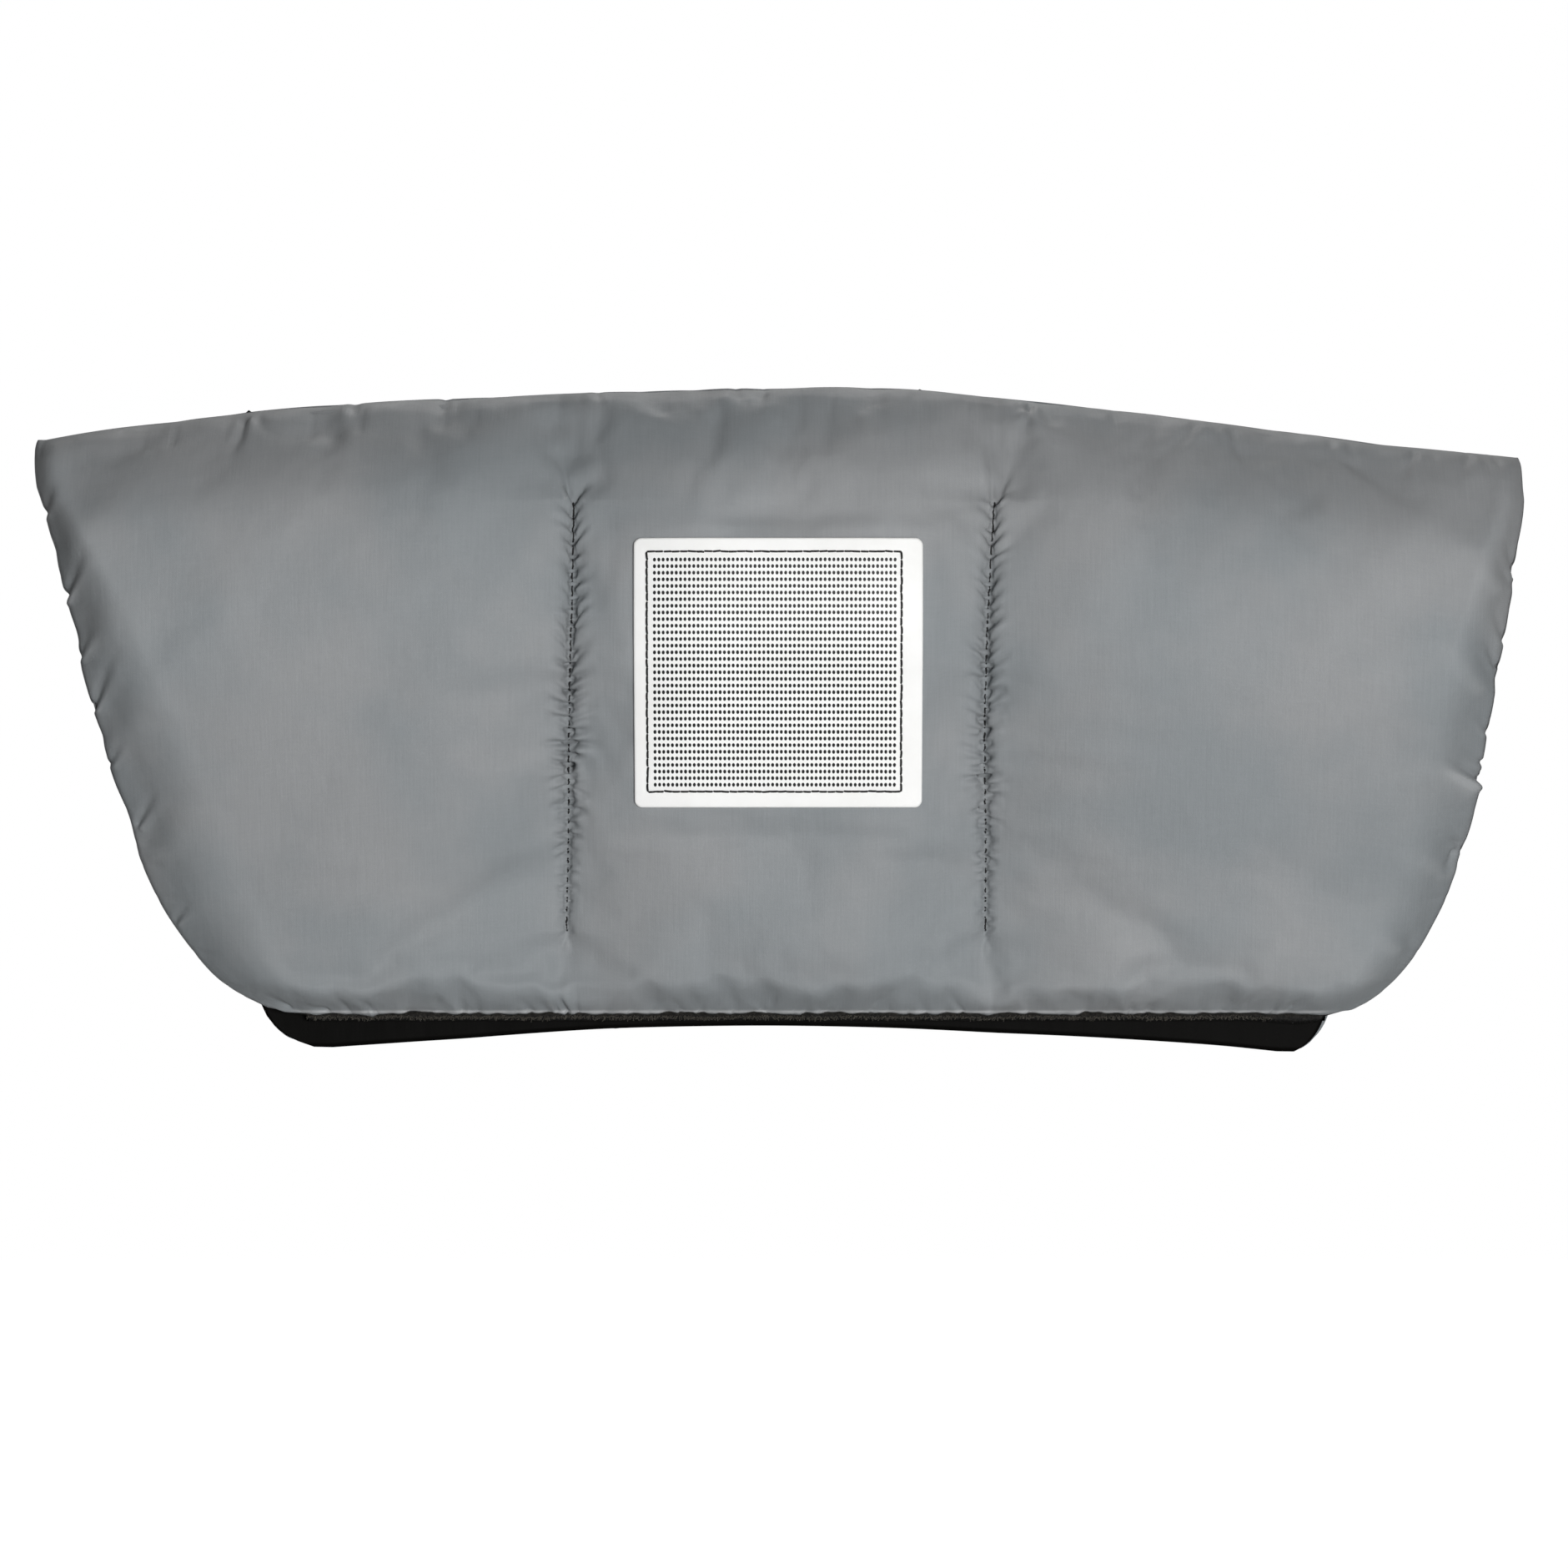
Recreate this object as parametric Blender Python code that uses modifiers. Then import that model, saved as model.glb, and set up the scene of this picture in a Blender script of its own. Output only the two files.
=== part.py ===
"""Hand muff for a pushchair's handlebar: a padded front and a padded rear panel, sewn together along
their arched top edge and closed by press studs above the lower edges. Both ends stay open, for the
handlebar and for a hand. Metres, +Z up, the front faces -Y. The origin is the middle of the part of
the handlebar that the muff hangs on."""

import math
from collections import namedtuple

import bmesh
import bpy
from mathutils import Vector

# Clearance between neighbours
clearance = 0.0003

# Handlebar and the hollow round it
bar_radius = 0.016
hand_room = 0.014
headroom = 0.037
belly_below_bar = 0.020
closed_band = 0.027
hang_round_share = 0.2

# Outline that both panels share: the arched top seam and its blunt ends
half_width = 0.249
crest_offset = 0.010
left_drop = 0.0194
right_drop = 0.0236
left_arch_power_share = 2.6
right_arch_power_share = 1.3
blunt_end = 0.014

# Front panel below its ends: wide, with large round lower corners
front_height = 0.2104
front_left_slant_share = 0.25
front_right_slant_share = 0.16
front_left_corner_width = 0.044
front_left_corner_height = 0.062
front_right_corner_width = 0.038
front_right_corner_height = 0.075
fleece_overhang = 0.0025

# Rear panel below its ends: narrower, a little lower, with a hollow lower edge
rear_overhang = 0.0103
rear_left_slant_share = 0.439
rear_right_slant_share = 0.381
rear_corner_width = 0.012
rear_corner_height = 0.013
rear_edge_rise = 0.0076
rear_edge_run = 0.160
rear_edge_offset = 0.008

# Layers of a panel, from the hollow outwards
fleece_thickness = 0.0025
smooth_lining_thickness = 0.0010
shell_thickness = 0.0008
puff = 0.019
side_run = 0.046
top_run = 0.036
low_run = 0.046

# Quilting seams: two upright rows of stitches that draw each panel in
seam_offset = 0.070
seam_top_drop = 0.039
seam_foot = 0.0284
channel_run = 0.045
channel_fade = 0.026
channel_depth_share = 0.55
channel_end_share = 0.30
quilt_thread_radius = 0.00035
edge_thread_radius = 0.0003
edge_thread_inset_share = 0.006

# Grid lines of a panel, as shares of the way from its middle to the seam and from the seam to its side
middle_shares = (0.0, 0.36, 0.64, 0.83, 0.93, 1.0)
outer_shares = (0.035, 0.10, 0.22, 0.38, 0.56, 0.74, 0.87, 0.95, 0.985, 1.0)
lining_middle_shares = (0.0, 0.5, 1.0)
lining_outer_shares = (0.2, 0.4, 0.6, 0.8, 1.0)
row_shares = (0.0, 0.012, 0.04, 0.10, 0.19, 0.30, 0.42, 0.54, 0.65, 0.75, 0.83, 0.89, 0.94, 0.975, 1.0)

# Patch on the middle of the front, sewn on near its edge
patch_width = 0.0958
patch_height = 0.0893
patch_offset = -0.001
patch_drop = 0.096
patch_thickness = 0.0014
patch_corner_radius = 0.0025
patch_stitch_inset = 0.0046
patch_thread_radius = 0.0003
patch_grid_count = 9
patch_lift = 0.0004

# Press studs, set through the linings alone
stud_count = 3
stud_pitch = 0.115
stud_row_offset = 0.008
stud_edge_height = 0.016
stud_disc_radius = 0.0056
socket_height = 0.0032
socket_wall_radius = 0.0025
socket_floor = 0.0007
stud_base_height = 0.0011
stud_head_radius = 0.0021
stud_neck_radius = 0.0017
stud_reach = 0.0022
disc_round = 0.0004
cap_thickness = 0.0006
cap_post_radius = 0.0016
turned_steps = 14

# Sizes that follow from the ones above
crest_rise = bar_radius + headroom
hollow_half_depth = bar_radius + hand_room
belly_drop = crest_rise + belly_below_bar
closed_half_gap = (socket_height + stud_base_height + 3 * clearance) / 2
seam_half_gap = edge_thread_radius + clearance
seam_pocket = 2 * (edge_thread_radius + clearance)
cap_pocket = cap_thickness + 2 * clearance
rear_height = front_height + rear_overhang
closure = crest_rise - front_height + closed_band
seam_top = crest_rise - seam_top_drop
seam_bottom = crest_rise - front_height + seam_foot
stud_height = crest_rise - front_height + stud_edge_height
seam_column_share = 0.5

Side = namedtuple("Side", "end_top slant_share corner_width corner_height")
Panel = namedtuple("Panel", "name facing low edge_rise lining left right")

left_end_top = crest_rise - left_drop
right_end_top = crest_rise - right_drop
front = Panel(
    "front",
    -1,
    crest_rise - front_height,
    0,
    fleece_thickness,
    Side(left_end_top, front_left_slant_share, front_left_corner_width, front_left_corner_height),
    Side(right_end_top, front_right_slant_share, front_right_corner_width, front_right_corner_height),
)
rear = Panel(
    "rear",
    1,
    crest_rise - rear_height,
    rear_edge_rise,
    smooth_lining_thickness,
    Side(left_end_top, rear_left_slant_share, rear_corner_width, rear_corner_height),
    Side(right_end_top, rear_right_slant_share, rear_corner_width, rear_corner_height),
)


# Scene and materials


def empty_scene():
    for thing in list(bpy.data.objects):
        bpy.data.objects.remove(thing, do_unlink=True)
    for name in ("hand_muff", "cutters"):
        collection = bpy.data.collections.get(name) or bpy.data.collections.new(name)
        if collection.name not in bpy.context.scene.collection.children:
            bpy.context.scene.collection.children.link(collection)


def hinge():
    """Empty on the axis that the front panel swings about: level with the crest of the top seam."""
    made = bpy.data.objects.new("front_panel_swing", None)
    bpy.data.collections["hand_muff"].objects.link(made)
    made.location = (0, 0, crest_rise)
    return made


def swing(pieces, axis):
    """Parents the front panel's pieces to the hinge, and leaves them where they are."""
    bpy.context.view_layer.update()
    for piece in pieces:
        piece.parent = axis
        piece.matrix_parent_inverse = axis.matrix_world.inverted()


def material(name, colour, roughness, metallic=0.0):
    made = bpy.data.materials.get(name)
    if made:
        return made
    made = bpy.data.materials.new(name)
    made.use_nodes = True
    shader = made.node_tree.nodes["Principled BSDF"]
    shader.inputs["Base Color"].default_value = (*colour, 1.0)
    shader.inputs["Roughness"].default_value = roughness
    shader.inputs["Metallic"].default_value = metallic
    return made


def grey_nylon():
    return material("grey_nylon", (0.22, 0.23, 0.235), 0.55)


def white_wadding():
    return material("white_wadding", (0.82, 0.82, 0.80), 0.95)


def black_fleece():
    return material("black_fleece", (0.016, 0.015, 0.014), 0.95)


def black_lining():
    return material("black_lining", (0.010, 0.010, 0.010), 0.5)


def black_thread():
    return material("black_thread", (0.012, 0.012, 0.012), 0.7)


def grey_thread():
    return material("grey_thread", (0.12, 0.125, 0.13), 0.7)


def white_rubber():
    return material("white_rubber", (0.86, 0.86, 0.84), 0.5)


def nickel():
    return material("nickel", (0.62, 0.60, 0.57), 0.25, 1.0)


def add(name, data, finish, group="hand_muff"):
    made = bpy.data.objects.new(name, data)
    bpy.data.collections[group].objects.link(made)
    if finish:
        data.materials.append(finish)
    return made


# Outline of a panel


def top_edge(x):
    """Height of the arched top seam."""
    if x < crest_offset:
        drop, power_share, run = left_drop, left_arch_power_share, half_width + crest_offset
    else:
        drop, power_share, run = right_drop, right_arch_power_share, half_width - crest_offset
    return crest_rise - drop * min(abs(x - crest_offset) / run, 1) ** power_share


def low_edge(panel, x):
    """Height of the lower edge, which the rear panel has hollowed in the middle."""
    return panel.low + panel.edge_rise * max(1 - ((x - rear_edge_offset) / rear_edge_run) ** 2, 0)


def reach(panel, x, z):
    """Half width at this height, on the side where x lies: blunt end, slant, round corner."""
    side = panel.left if x < 0 else panel.right
    slant_drop = max(side.end_top - blunt_end - z, 0)
    share = min(max(1 - (z - panel.low) / side.corner_height, 0), 1)
    corner = side.corner_width * (1 - math.sqrt(1 - share**2))
    return half_width - side.slant_share * slant_drop - corner


def column(panel, u, z):
    """The x of a column share. The quilting seams keep their place whatever the width is."""
    share = abs(u)
    if share <= seam_column_share:
        x = seam_offset * share / seam_column_share
    else:
        outer = (share - seam_column_share) / (1 - seam_column_share)
        x = seam_offset + (reach(panel, u, z) - seam_offset) * outer
    return math.copysign(x, u)


def spot(panel, u, v, overhang=0):
    """The x and z of a column share and a row share, which depend on each other."""
    z = panel.low
    for _ in range(8):
        x = column(panel, u, z)
        low = low_edge(panel, x) - overhang
        z = low + (top_edge(x) - low) * v
    return x, z


# Depth of each layer, as a distance from the middle plane


def rise(distance, run):
    """Quarter round that climbs from 0 to 1 over the run."""
    share = min(max(distance / run, 0), 1)
    return math.sqrt(1 - (1 - share) ** 2)


def channel(x, z):
    """How full the padding is near a quilting seam, which fades out past its ends."""
    beyond = max(z - seam_top, seam_bottom - z, 0)
    fade = min(beyond / channel_fade, 1)
    strength = 1 - (1 - channel_end_share) * fade * fade * (3 - 2 * fade)
    away = abs(abs(x) - seam_offset)
    return 1 - channel_depth_share * strength * (1 - rise(away, channel_run))


def crown(panel, x, z):
    """Fullness of the padding, 0 at the edges and 1 where it is thickest."""
    side = rise(reach(panel, x, z) - abs(x), side_run)
    top = rise(top_edge(x) - z, top_run)
    low = rise(z - low_edge(panel, x), low_run)
    return side * top * low * channel(x, z)


def hang(share):
    """Falls straight from 1 to 0, with both ends rounded, as cloth hangs from the handlebar to the studs."""
    steepness = 1 / (1 - hang_round_share)
    if share < hang_round_share:
        return 1 - steepness * share**2 / (2 * hang_round_share)
    if share > 1 - hang_round_share:
        return steepness * (1 - share) ** 2 / (2 * hang_round_share)
    return 1 - steepness * (share - hang_round_share / 2)


def hollow(x, z):
    """Half depth of the hollow: round at the top, wide at the handlebar, closed at the studs."""
    drop = top_edge(x) - z
    if drop < belly_drop:
        half = hollow_half_depth * rise(drop, belly_drop)
    else:
        belly = top_edge(x) - belly_drop
        share = min((belly - z) / (belly - closure), 1)
        half = closed_half_gap + (hollow_half_depth - closed_half_gap) * hang(share)
    return max(half, seam_half_gap)


def lining_inside(panel, x, z):
    return hollow(x, z)


def lining_outside(panel, x, z):
    return hollow(x, z) + panel.lining


def wadding_inside(panel, x, z):
    return lining_outside(panel, x, z) + cap_pocket


def wadding_outside(panel, x, z):
    return shell_inside(panel, x, z) - clearance


def shell_inside(panel, x, z):
    padding = puff * crown(panel, x, z)
    return lining_outside(panel, x, z) + seam_pocket + padding


def shell_outside(panel, x, z):
    return shell_inside(panel, x, z) + shell_thickness


def seam_thread_depth(panel, x, z):
    return lining_outside(panel, x, z) + seam_pocket / 2


# Sheets and pads


def grid_lines(middle, outer):
    """Column shares from one side of a panel to the other."""
    half = [seam_column_share * share for share in middle]
    half += [seam_column_share + (1 - seam_column_share) * share for share in outer]
    return [-share for share in reversed(half[1:])] + half


def layer(name, finish, panel, inner, outer, columns, rows, overhang=0):
    """A closed body between two depths of a panel."""
    shape = bmesh.new()
    across, up = len(columns) - 1, len(rows) - 1
    bmesh.ops.create_grid(shape, x_segments=across, y_segments=up, size=1)
    bmesh.ops.triangulate(shape, faces=shape.faces[:], quad_method="FIXED")
    places = {}
    for corner in shape.verts:
        u = columns[round((corner.co.x + 1) / 2 * across)]
        v = rows[round((corner.co.y + 1) / 2 * up)]
        x, z = spot(panel, u, v, overhang)
        corner.co = (x, panel.facing * inner(panel, x, z), z)
        places[corner] = Vector((x, panel.facing * outer(panel, x, z), z))
    inner_faces = shape.faces[:]
    inner_corners = shape.verts[:]
    lifted = bmesh.ops.extrude_face_region(shape, geom=inner_faces, use_keep_orig=True)
    fresh = [item for item in lifted["geom"] if isinstance(item, bmesh.types.BMVert)]
    nearest = {tuple(corner.co): places[corner] for corner in inner_corners}
    for corner in fresh:
        corner.co = nearest[tuple(corner.co)]
    bmesh.ops.recalc_face_normals(shape, faces=shape.faces[:])
    mesh = bpy.data.meshes.new(name)
    shape.to_mesh(mesh)
    shape.free()
    mesh.shade_smooth()
    return add(name, mesh, finish)


def make_panel(panel, lining_finish, overhang):
    columns = grid_lines(middle_shares, outer_shares)
    lining_columns = grid_lines(lining_middle_shares, lining_outer_shares)
    inner_columns, inner_rows = columns[1:-1], row_shares[1:-1]
    name = panel.name
    shell = layer(name + "_shell", grey_nylon(), panel, shell_inside, shell_outside, columns, row_shares)
    wadding = layer(
        name + "_wadding", white_wadding(), panel, wadding_inside, wadding_outside, inner_columns, inner_rows
    )
    lining = layer(
        name + "_lining", lining_finish, panel, lining_inside, lining_outside, lining_columns, row_shares,
        overhang,
    )
    for index, x in enumerate(stud_places()):
        pierce(lining, index, x)
    return [shell, wadding, lining]


# Threads


def thread(name, finish, points, radius, sides, closed=False):
    """A round thread through the points, which lie close together."""
    curve = bpy.data.curves.new(name, "CURVE")
    curve.dimensions = "3D"
    curve.bevel_depth = radius
    curve.bevel_resolution = sides
    curve.use_fill_caps = True
    line = curve.splines.new("POLY")
    line.points.add(len(points) - 1)
    for corner, point in zip(line.points, points):
        corner.co = (*point, 1)
    line.use_cyclic_u = closed
    return add(name, curve, finish)


def on_panel(panel, x, z, depth):
    return Vector((x, panel.facing * depth, z))


def quilt_thread(panel, sign, name):
    """Lies in the bottom of a channel, on the shell, with a point at each row of the grid."""
    lift = clearance + quilt_thread_radius
    rows = []
    for v in row_shares:
        x, z = spot(panel, sign * seam_column_share, v)
        rows.append(on_panel(panel, x, z, shell_outside(panel, x, z) + lift))
    path = []
    for low, high in zip(rows, rows[1:]):
        for end in (seam_bottom, seam_top):
            if low.z < end < high.z:
                path.append(low.lerp(high, (end - low.z) / (high.z - low.z)))
        if seam_bottom < high.z < seam_top:
            path.append(high)
    path.sort(key=lambda point: point.z)
    return thread(name, black_thread(), path, quilt_thread_radius, 1)


def edge_thread(panel):
    """Joins the shell to the lining down one end, along the lower edge and up the other end."""
    inset = edge_thread_inset_share
    columns = grid_lines(lining_middle_shares, lining_outer_shares)[1:-1]
    shares = [(inset - 1, v) for v in reversed(row_shares[1:-1])]
    shares += [(u, inset) for u in columns]
    shares += [(1 - inset, v) for v in row_shares[1:-1]]
    spots = [spot(panel, u, v) for u, v in shares]
    path = [on_panel(panel, x, z, seam_thread_depth(panel, x, z)) for x, z in spots]
    return thread(panel.name + "_edge_thread", grey_thread(), path, edge_thread_radius, 0)


def top_seam_thread():
    """Joins the two panels, in the middle plane between their linings."""
    path = []
    inset = edge_thread_inset_share
    inner_columns = grid_lines(lining_middle_shares, lining_outer_shares)[1:-1]
    for u in [inset - 1] + inner_columns + [1 - inset]:
        x, z = spot(front, u, 1)
        path.append(Vector((x, 0, z - edge_thread_radius - clearance)))
    thread("top_seam_thread", grey_thread(), path, edge_thread_radius, 0)


# Patch


def patch_spot(x_share, z_share, inset=0):
    x = patch_offset + x_share * (patch_width / 2 - inset)
    z = crest_rise - patch_drop + z_share * (patch_height / 2 - inset)
    return x, z


def round_corner(x_share, z_share, width, height):
    """Draws a corner of the grid in, so that the patch's corners are cut round."""
    if abs(x_share) < 1 or abs(z_share) < 1:
        return x_share, z_share
    cut = patch_corner_radius * (1 - math.sqrt(0.5))
    return x_share * (1 - 2 * cut / width), z_share * (1 - 2 * cut / height)


def patch_shares(size):
    """Even grid lines, with one more at the corner radius from each edge."""
    edge = 1 - 2 * patch_corner_radius / size
    inner = [edge * (2 * index / patch_grid_count - 1) for index in range(patch_grid_count + 1)]
    return [-1.0] + inner + [1.0]


def patch():
    columns, rows = patch_shares(patch_width), patch_shares(patch_height)
    shape = bmesh.new()
    across, up = len(columns) - 1, len(rows) - 1
    bmesh.ops.create_grid(shape, x_segments=across, y_segments=up, size=1)
    for corner in shape.verts:
        x_share = columns[round((corner.co.x + 1) / 2 * across)]
        z_share = rows[round((corner.co.y + 1) / 2 * up)]
        x_share, z_share = round_corner(x_share, z_share, patch_width, patch_height)
        x, z = patch_spot(x_share, z_share)
        corner.co = (x, -shell_outside(front, x, z) - patch_lift, z)
    lifted = bmesh.ops.extrude_face_region(shape, geom=shape.faces[:], use_keep_orig=True)
    fresh = [item for item in lifted["geom"] if isinstance(item, bmesh.types.BMVert)]
    bmesh.ops.translate(shape, verts=fresh, vec=(0, -patch_thickness, 0))
    bmesh.ops.recalc_face_normals(shape, faces=shape.faces[:])
    mesh = bpy.data.meshes.new("patch")
    shape.to_mesh(mesh)
    shape.free()
    mesh.shade_smooth()
    mesh.set_sharp_from_angle(angle=math.radians(40))
    return add("patch", mesh, white_rubber())


def patch_thread():
    """A rectangle of stitches on the patch's face, a little inside its edge."""
    count = patch_grid_count
    steps = [2 * index / count - 1 for index in range(count)]
    shares = [(step, -1) for step in steps] + [(1, step) for step in steps]
    shares += [(-step, 1) for step in steps] + [(-1, -step) for step in steps]
    lift = patch_lift + patch_thickness + clearance + patch_thread_radius
    path = []
    for x_share, z_share in shares:
        x, z = patch_spot(x_share, z_share, patch_stitch_inset)
        path.append(on_panel(front, x, z, shell_outside(front, x, z) + lift))
    return thread("patch_thread", black_thread(), path, patch_thread_radius, 1, closed=True)


# Press studs


def stud_places():
    first = stud_row_offset - stud_pitch * (stud_count - 1) / 2
    return [first + stud_pitch * index for index in range(stud_count)]


def turned(name, profile, x, y, facing):
    """A turned piece on an axis along Y. Its heights grow towards the side it faces."""
    mesh = bpy.data.meshes.new(name)
    corners = [(radius, 0, height) for radius, height in profile]
    mesh.from_pydata(corners, [(index, index + 1) for index in range(len(corners) - 1)], [])
    made = add(name, mesh, nickel())
    made.location = (x, y, stud_height)
    made.rotation_euler = (math.radians(-90 * facing), 0, 0)
    screw = made.modifiers.new("turn", "SCREW")
    screw.axis = "Z"
    screw.steps = turned_steps
    screw.render_steps = turned_steps
    screw.use_merge_vertices = True
    screw.merge_threshold = clearance / 10
    screw.use_smooth_shade = True
    return made


def socket(name, x):
    """Ring with a blind hole, on the fleece, open towards the rear."""
    profile = [
        (0, socket_floor),
        (socket_wall_radius, socket_floor),
        (socket_wall_radius, socket_height - disc_round),
        (socket_wall_radius + disc_round, socket_height),
        (stud_disc_radius - disc_round, socket_height),
        (stud_disc_radius, socket_height - disc_round),
        (stud_disc_radius, 0),
        (0, 0),
    ]
    return turned(name, profile, x, clearance - closed_half_gap, 1)


def stud(name, x):
    """Disc with a mushroom head that reaches into the socket."""
    profile = [
        (0, stud_base_height + stud_reach),
        (stud_head_radius - disc_round, stud_base_height + stud_reach),
        (stud_head_radius, stud_base_height + stud_reach * 2 / 3),
        (stud_neck_radius, stud_base_height),
        (stud_disc_radius - disc_round, stud_base_height),
        (stud_disc_radius, stud_base_height - disc_round),
        (stud_disc_radius, 0),
        (0, 0),
    ]
    turned(name, profile, x, closed_half_gap - clearance, -1)


def cap(name, panel, x):
    """Disc behind the lining, with a post that fills the lining's hole."""
    disc_top = -clearance
    profile = [
        (0, panel.lining),
        (cap_post_radius, panel.lining),
        (cap_post_radius, disc_top),
        (stud_disc_radius, disc_top),
        (stud_disc_radius, disc_top - cap_thickness),
        (0, disc_top - cap_thickness),
    ]
    y = panel.facing * (closed_half_gap + panel.lining)
    return turned(name, profile, x, y, -panel.facing)


def pierce(lining, index, x):
    """The hole that a cap's post goes through."""
    radius = cap_post_radius + clearance
    name = lining.name + "_hole_" + str(index)
    shape = bmesh.new()
    bmesh.ops.create_cone(
        shape, cap_ends=True, segments=turned_steps, radius1=radius, radius2=radius, depth=closed_half_gap * 8
    )
    mesh = bpy.data.meshes.new(name)
    shape.to_mesh(mesh)
    shape.free()
    cutter = add(name, mesh, None, "cutters")
    cutter.location = (x, 0, stud_height)
    cutter.rotation_euler = (math.radians(90), 0, 0)
    cutter.hide_render = True
    cutter.display_type = "WIRE"
    cut = lining.modifiers.new("hole", "BOOLEAN")
    cut.operation = "DIFFERENCE"
    cut.object = cutter


def press_studs():
    """Sets the studs in the rear panel, and returns what is set in the front one."""
    sockets = []
    for label, x in zip(("left", "middle", "right"), stud_places()):
        sockets.append(socket("socket_" + label, x))
        sockets.append(cap("socket_cap_" + label, front, x))
        stud("stud_" + label, x)
        cap("stud_cap_" + label, rear, x)
    return sockets


def panel_threads(panel):
    left = quilt_thread(panel, -1, panel.name + "_quilt_thread_left")
    right = quilt_thread(panel, 1, panel.name + "_quilt_thread_right")
    return [edge_thread(panel), left, right]


def main():
    empty_scene()
    make_panel(rear, black_lining(), 0)
    panel_threads(rear)
    top_seam_thread()
    moving = make_panel(front, black_fleece(), fleece_overhang)
    moving += panel_threads(front)
    moving += [patch(), patch_thread()]
    moving += press_studs()
    swing(moving, hinge())


main()
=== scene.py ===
import math
from collections import namedtuple

import bmesh
import bpy
import numpy as np
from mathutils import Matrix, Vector
from mathutils.bvhtree import BVHTree


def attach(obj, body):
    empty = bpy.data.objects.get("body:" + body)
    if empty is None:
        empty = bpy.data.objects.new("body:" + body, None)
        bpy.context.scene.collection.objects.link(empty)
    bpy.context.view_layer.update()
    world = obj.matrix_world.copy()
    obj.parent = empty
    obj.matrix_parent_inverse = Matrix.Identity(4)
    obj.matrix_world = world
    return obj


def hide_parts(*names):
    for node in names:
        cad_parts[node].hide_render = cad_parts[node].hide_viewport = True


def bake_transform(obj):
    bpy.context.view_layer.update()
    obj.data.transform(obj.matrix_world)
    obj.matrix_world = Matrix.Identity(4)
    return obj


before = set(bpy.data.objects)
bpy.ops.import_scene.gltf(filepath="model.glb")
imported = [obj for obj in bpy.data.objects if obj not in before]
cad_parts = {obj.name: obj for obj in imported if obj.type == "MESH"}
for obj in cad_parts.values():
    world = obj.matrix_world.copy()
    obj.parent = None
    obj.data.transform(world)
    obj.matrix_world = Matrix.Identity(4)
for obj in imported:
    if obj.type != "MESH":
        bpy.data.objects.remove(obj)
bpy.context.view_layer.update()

scene = bpy.context.scene

# Hand muff for a pushchair's handlebar. Metres, +Z up, the front faces -Y, and the origin is the
# middle of the part of the handlebar that the muff hangs on.

# Outline that both panels share: the arched top seam and its blunt ends
half_width = 0.249
crest_rise = 0.053
crest_offset = 0.010
left_drop = 0.0194
right_drop = 0.0236
left_arch_power = 2.6
right_arch_power = 1.3
blunt_end = 0.014

# Lower outlines
front_low = -0.1574
rear_low = -0.1677
fleece_overhang = 0.0025
rear_edge_rise = 0.0076
rear_edge_run = 0.160
rear_edge_offset = 0.008

# Depths, from the hollow outwards
hollow_half_depth = 0.030
belly_drop = 0.073
closure = -0.1304
closed_half_gap = 0.0026
hang_round = 0.2
seam_half_gap = 0.0006
seam_pocket = 0.0012
cap_pocket = 0.0012
shell_thickness = 0.0008
puff = 0.019
side_run = 0.046
top_run = 0.036
low_run = 0.046
top_round = 0.0045
shoulder_drop = 0.016
shoulder_run = 0.0125
shoulder_depth = 0.0042
low_roll_run = 0.013
low_roll_share = 0.94
roll_heights = (-0.157, -0.120, -0.090, -0.060, -0.030, 0.0, 0.030)
left_roll_runs = (0.028, 0.033, 0.034, 0.031, 0.024, 0.016, 0.009)
right_roll_runs = (0.016, 0.023, 0.025, 0.023, 0.019, 0.014, 0.009)
side_roll_share = 0.98
straight_share = 0.35
rim_round = 0.0022

# Quilting seams: two upright rows of stitches, with the heights and places that they wander through
seam_share = 0.35
seam_top = 0.014
seam_bottom = -0.129
channel_run = 0.045
channel_fade = 0.034
channel_depth = 0.55
channel_end = 0.30
channel_sharp = 0.6
channel_blunt = 0.014
blunt_fade = 0.012
seam_heights = (-0.131, -0.1266, -0.0966, -0.0686, -0.0574, -0.0294, -0.0202, 0.0115, 0.0151)
front_left_seam = (-0.0722, -0.0722, -0.0714, -0.0710, -0.0708, -0.0699, -0.0695, -0.0692, -0.0692)
front_right_seam = (0.0686, 0.0686, 0.0686, 0.0678, 0.0679, 0.0683, 0.0688, 0.0707, 0.0711)
rear_left_seam = (-0.070,) * 9
rear_right_seam = (0.070,) * 9

# Patch
patch_middle = (-0.001, -0.043)
patch_size = (0.0958, 0.0893)
patch_thickness = 0.0014
patch_lift = 0.0004
patch_corner = 0.0025
stitch_line_middle = (-0.00235, -0.0426)
stitch_line_half = (0.0421, 0.0397)

Side = namedtuple("Side", "end_top slant corner_width corner_height slack")
Panel = namedtuple("Panel", "name facing low edge_rise lining left right left_seam right_seam low_slack")


# Outline and depths of a panel, for arrays of places


def rise(distance, run):
    """Quarter round that climbs from 0 to 1 over the run."""
    share = np.clip(distance / run, 0, 1)
    return np.sqrt(1 - (1 - share) ** 2)


def ease(share):
    share = np.clip(share, 0, 1)
    return share * share * (3 - 2 * share)


def bell(distance, width):
    return np.exp(-((distance / width) ** 2))


def wave(place, size, seed):
    """Unevenness along a line, with bumps of about the size, between -1 and 1."""
    turn = 2 * math.pi * place / size
    swell = 0.5 * np.sin(turn + seed) + 0.3 * np.sin(turn / 0.613 + 2.3 * seed)
    return swell + 0.2 * np.sin(turn / 1.71 + 5 * seed)


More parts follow.
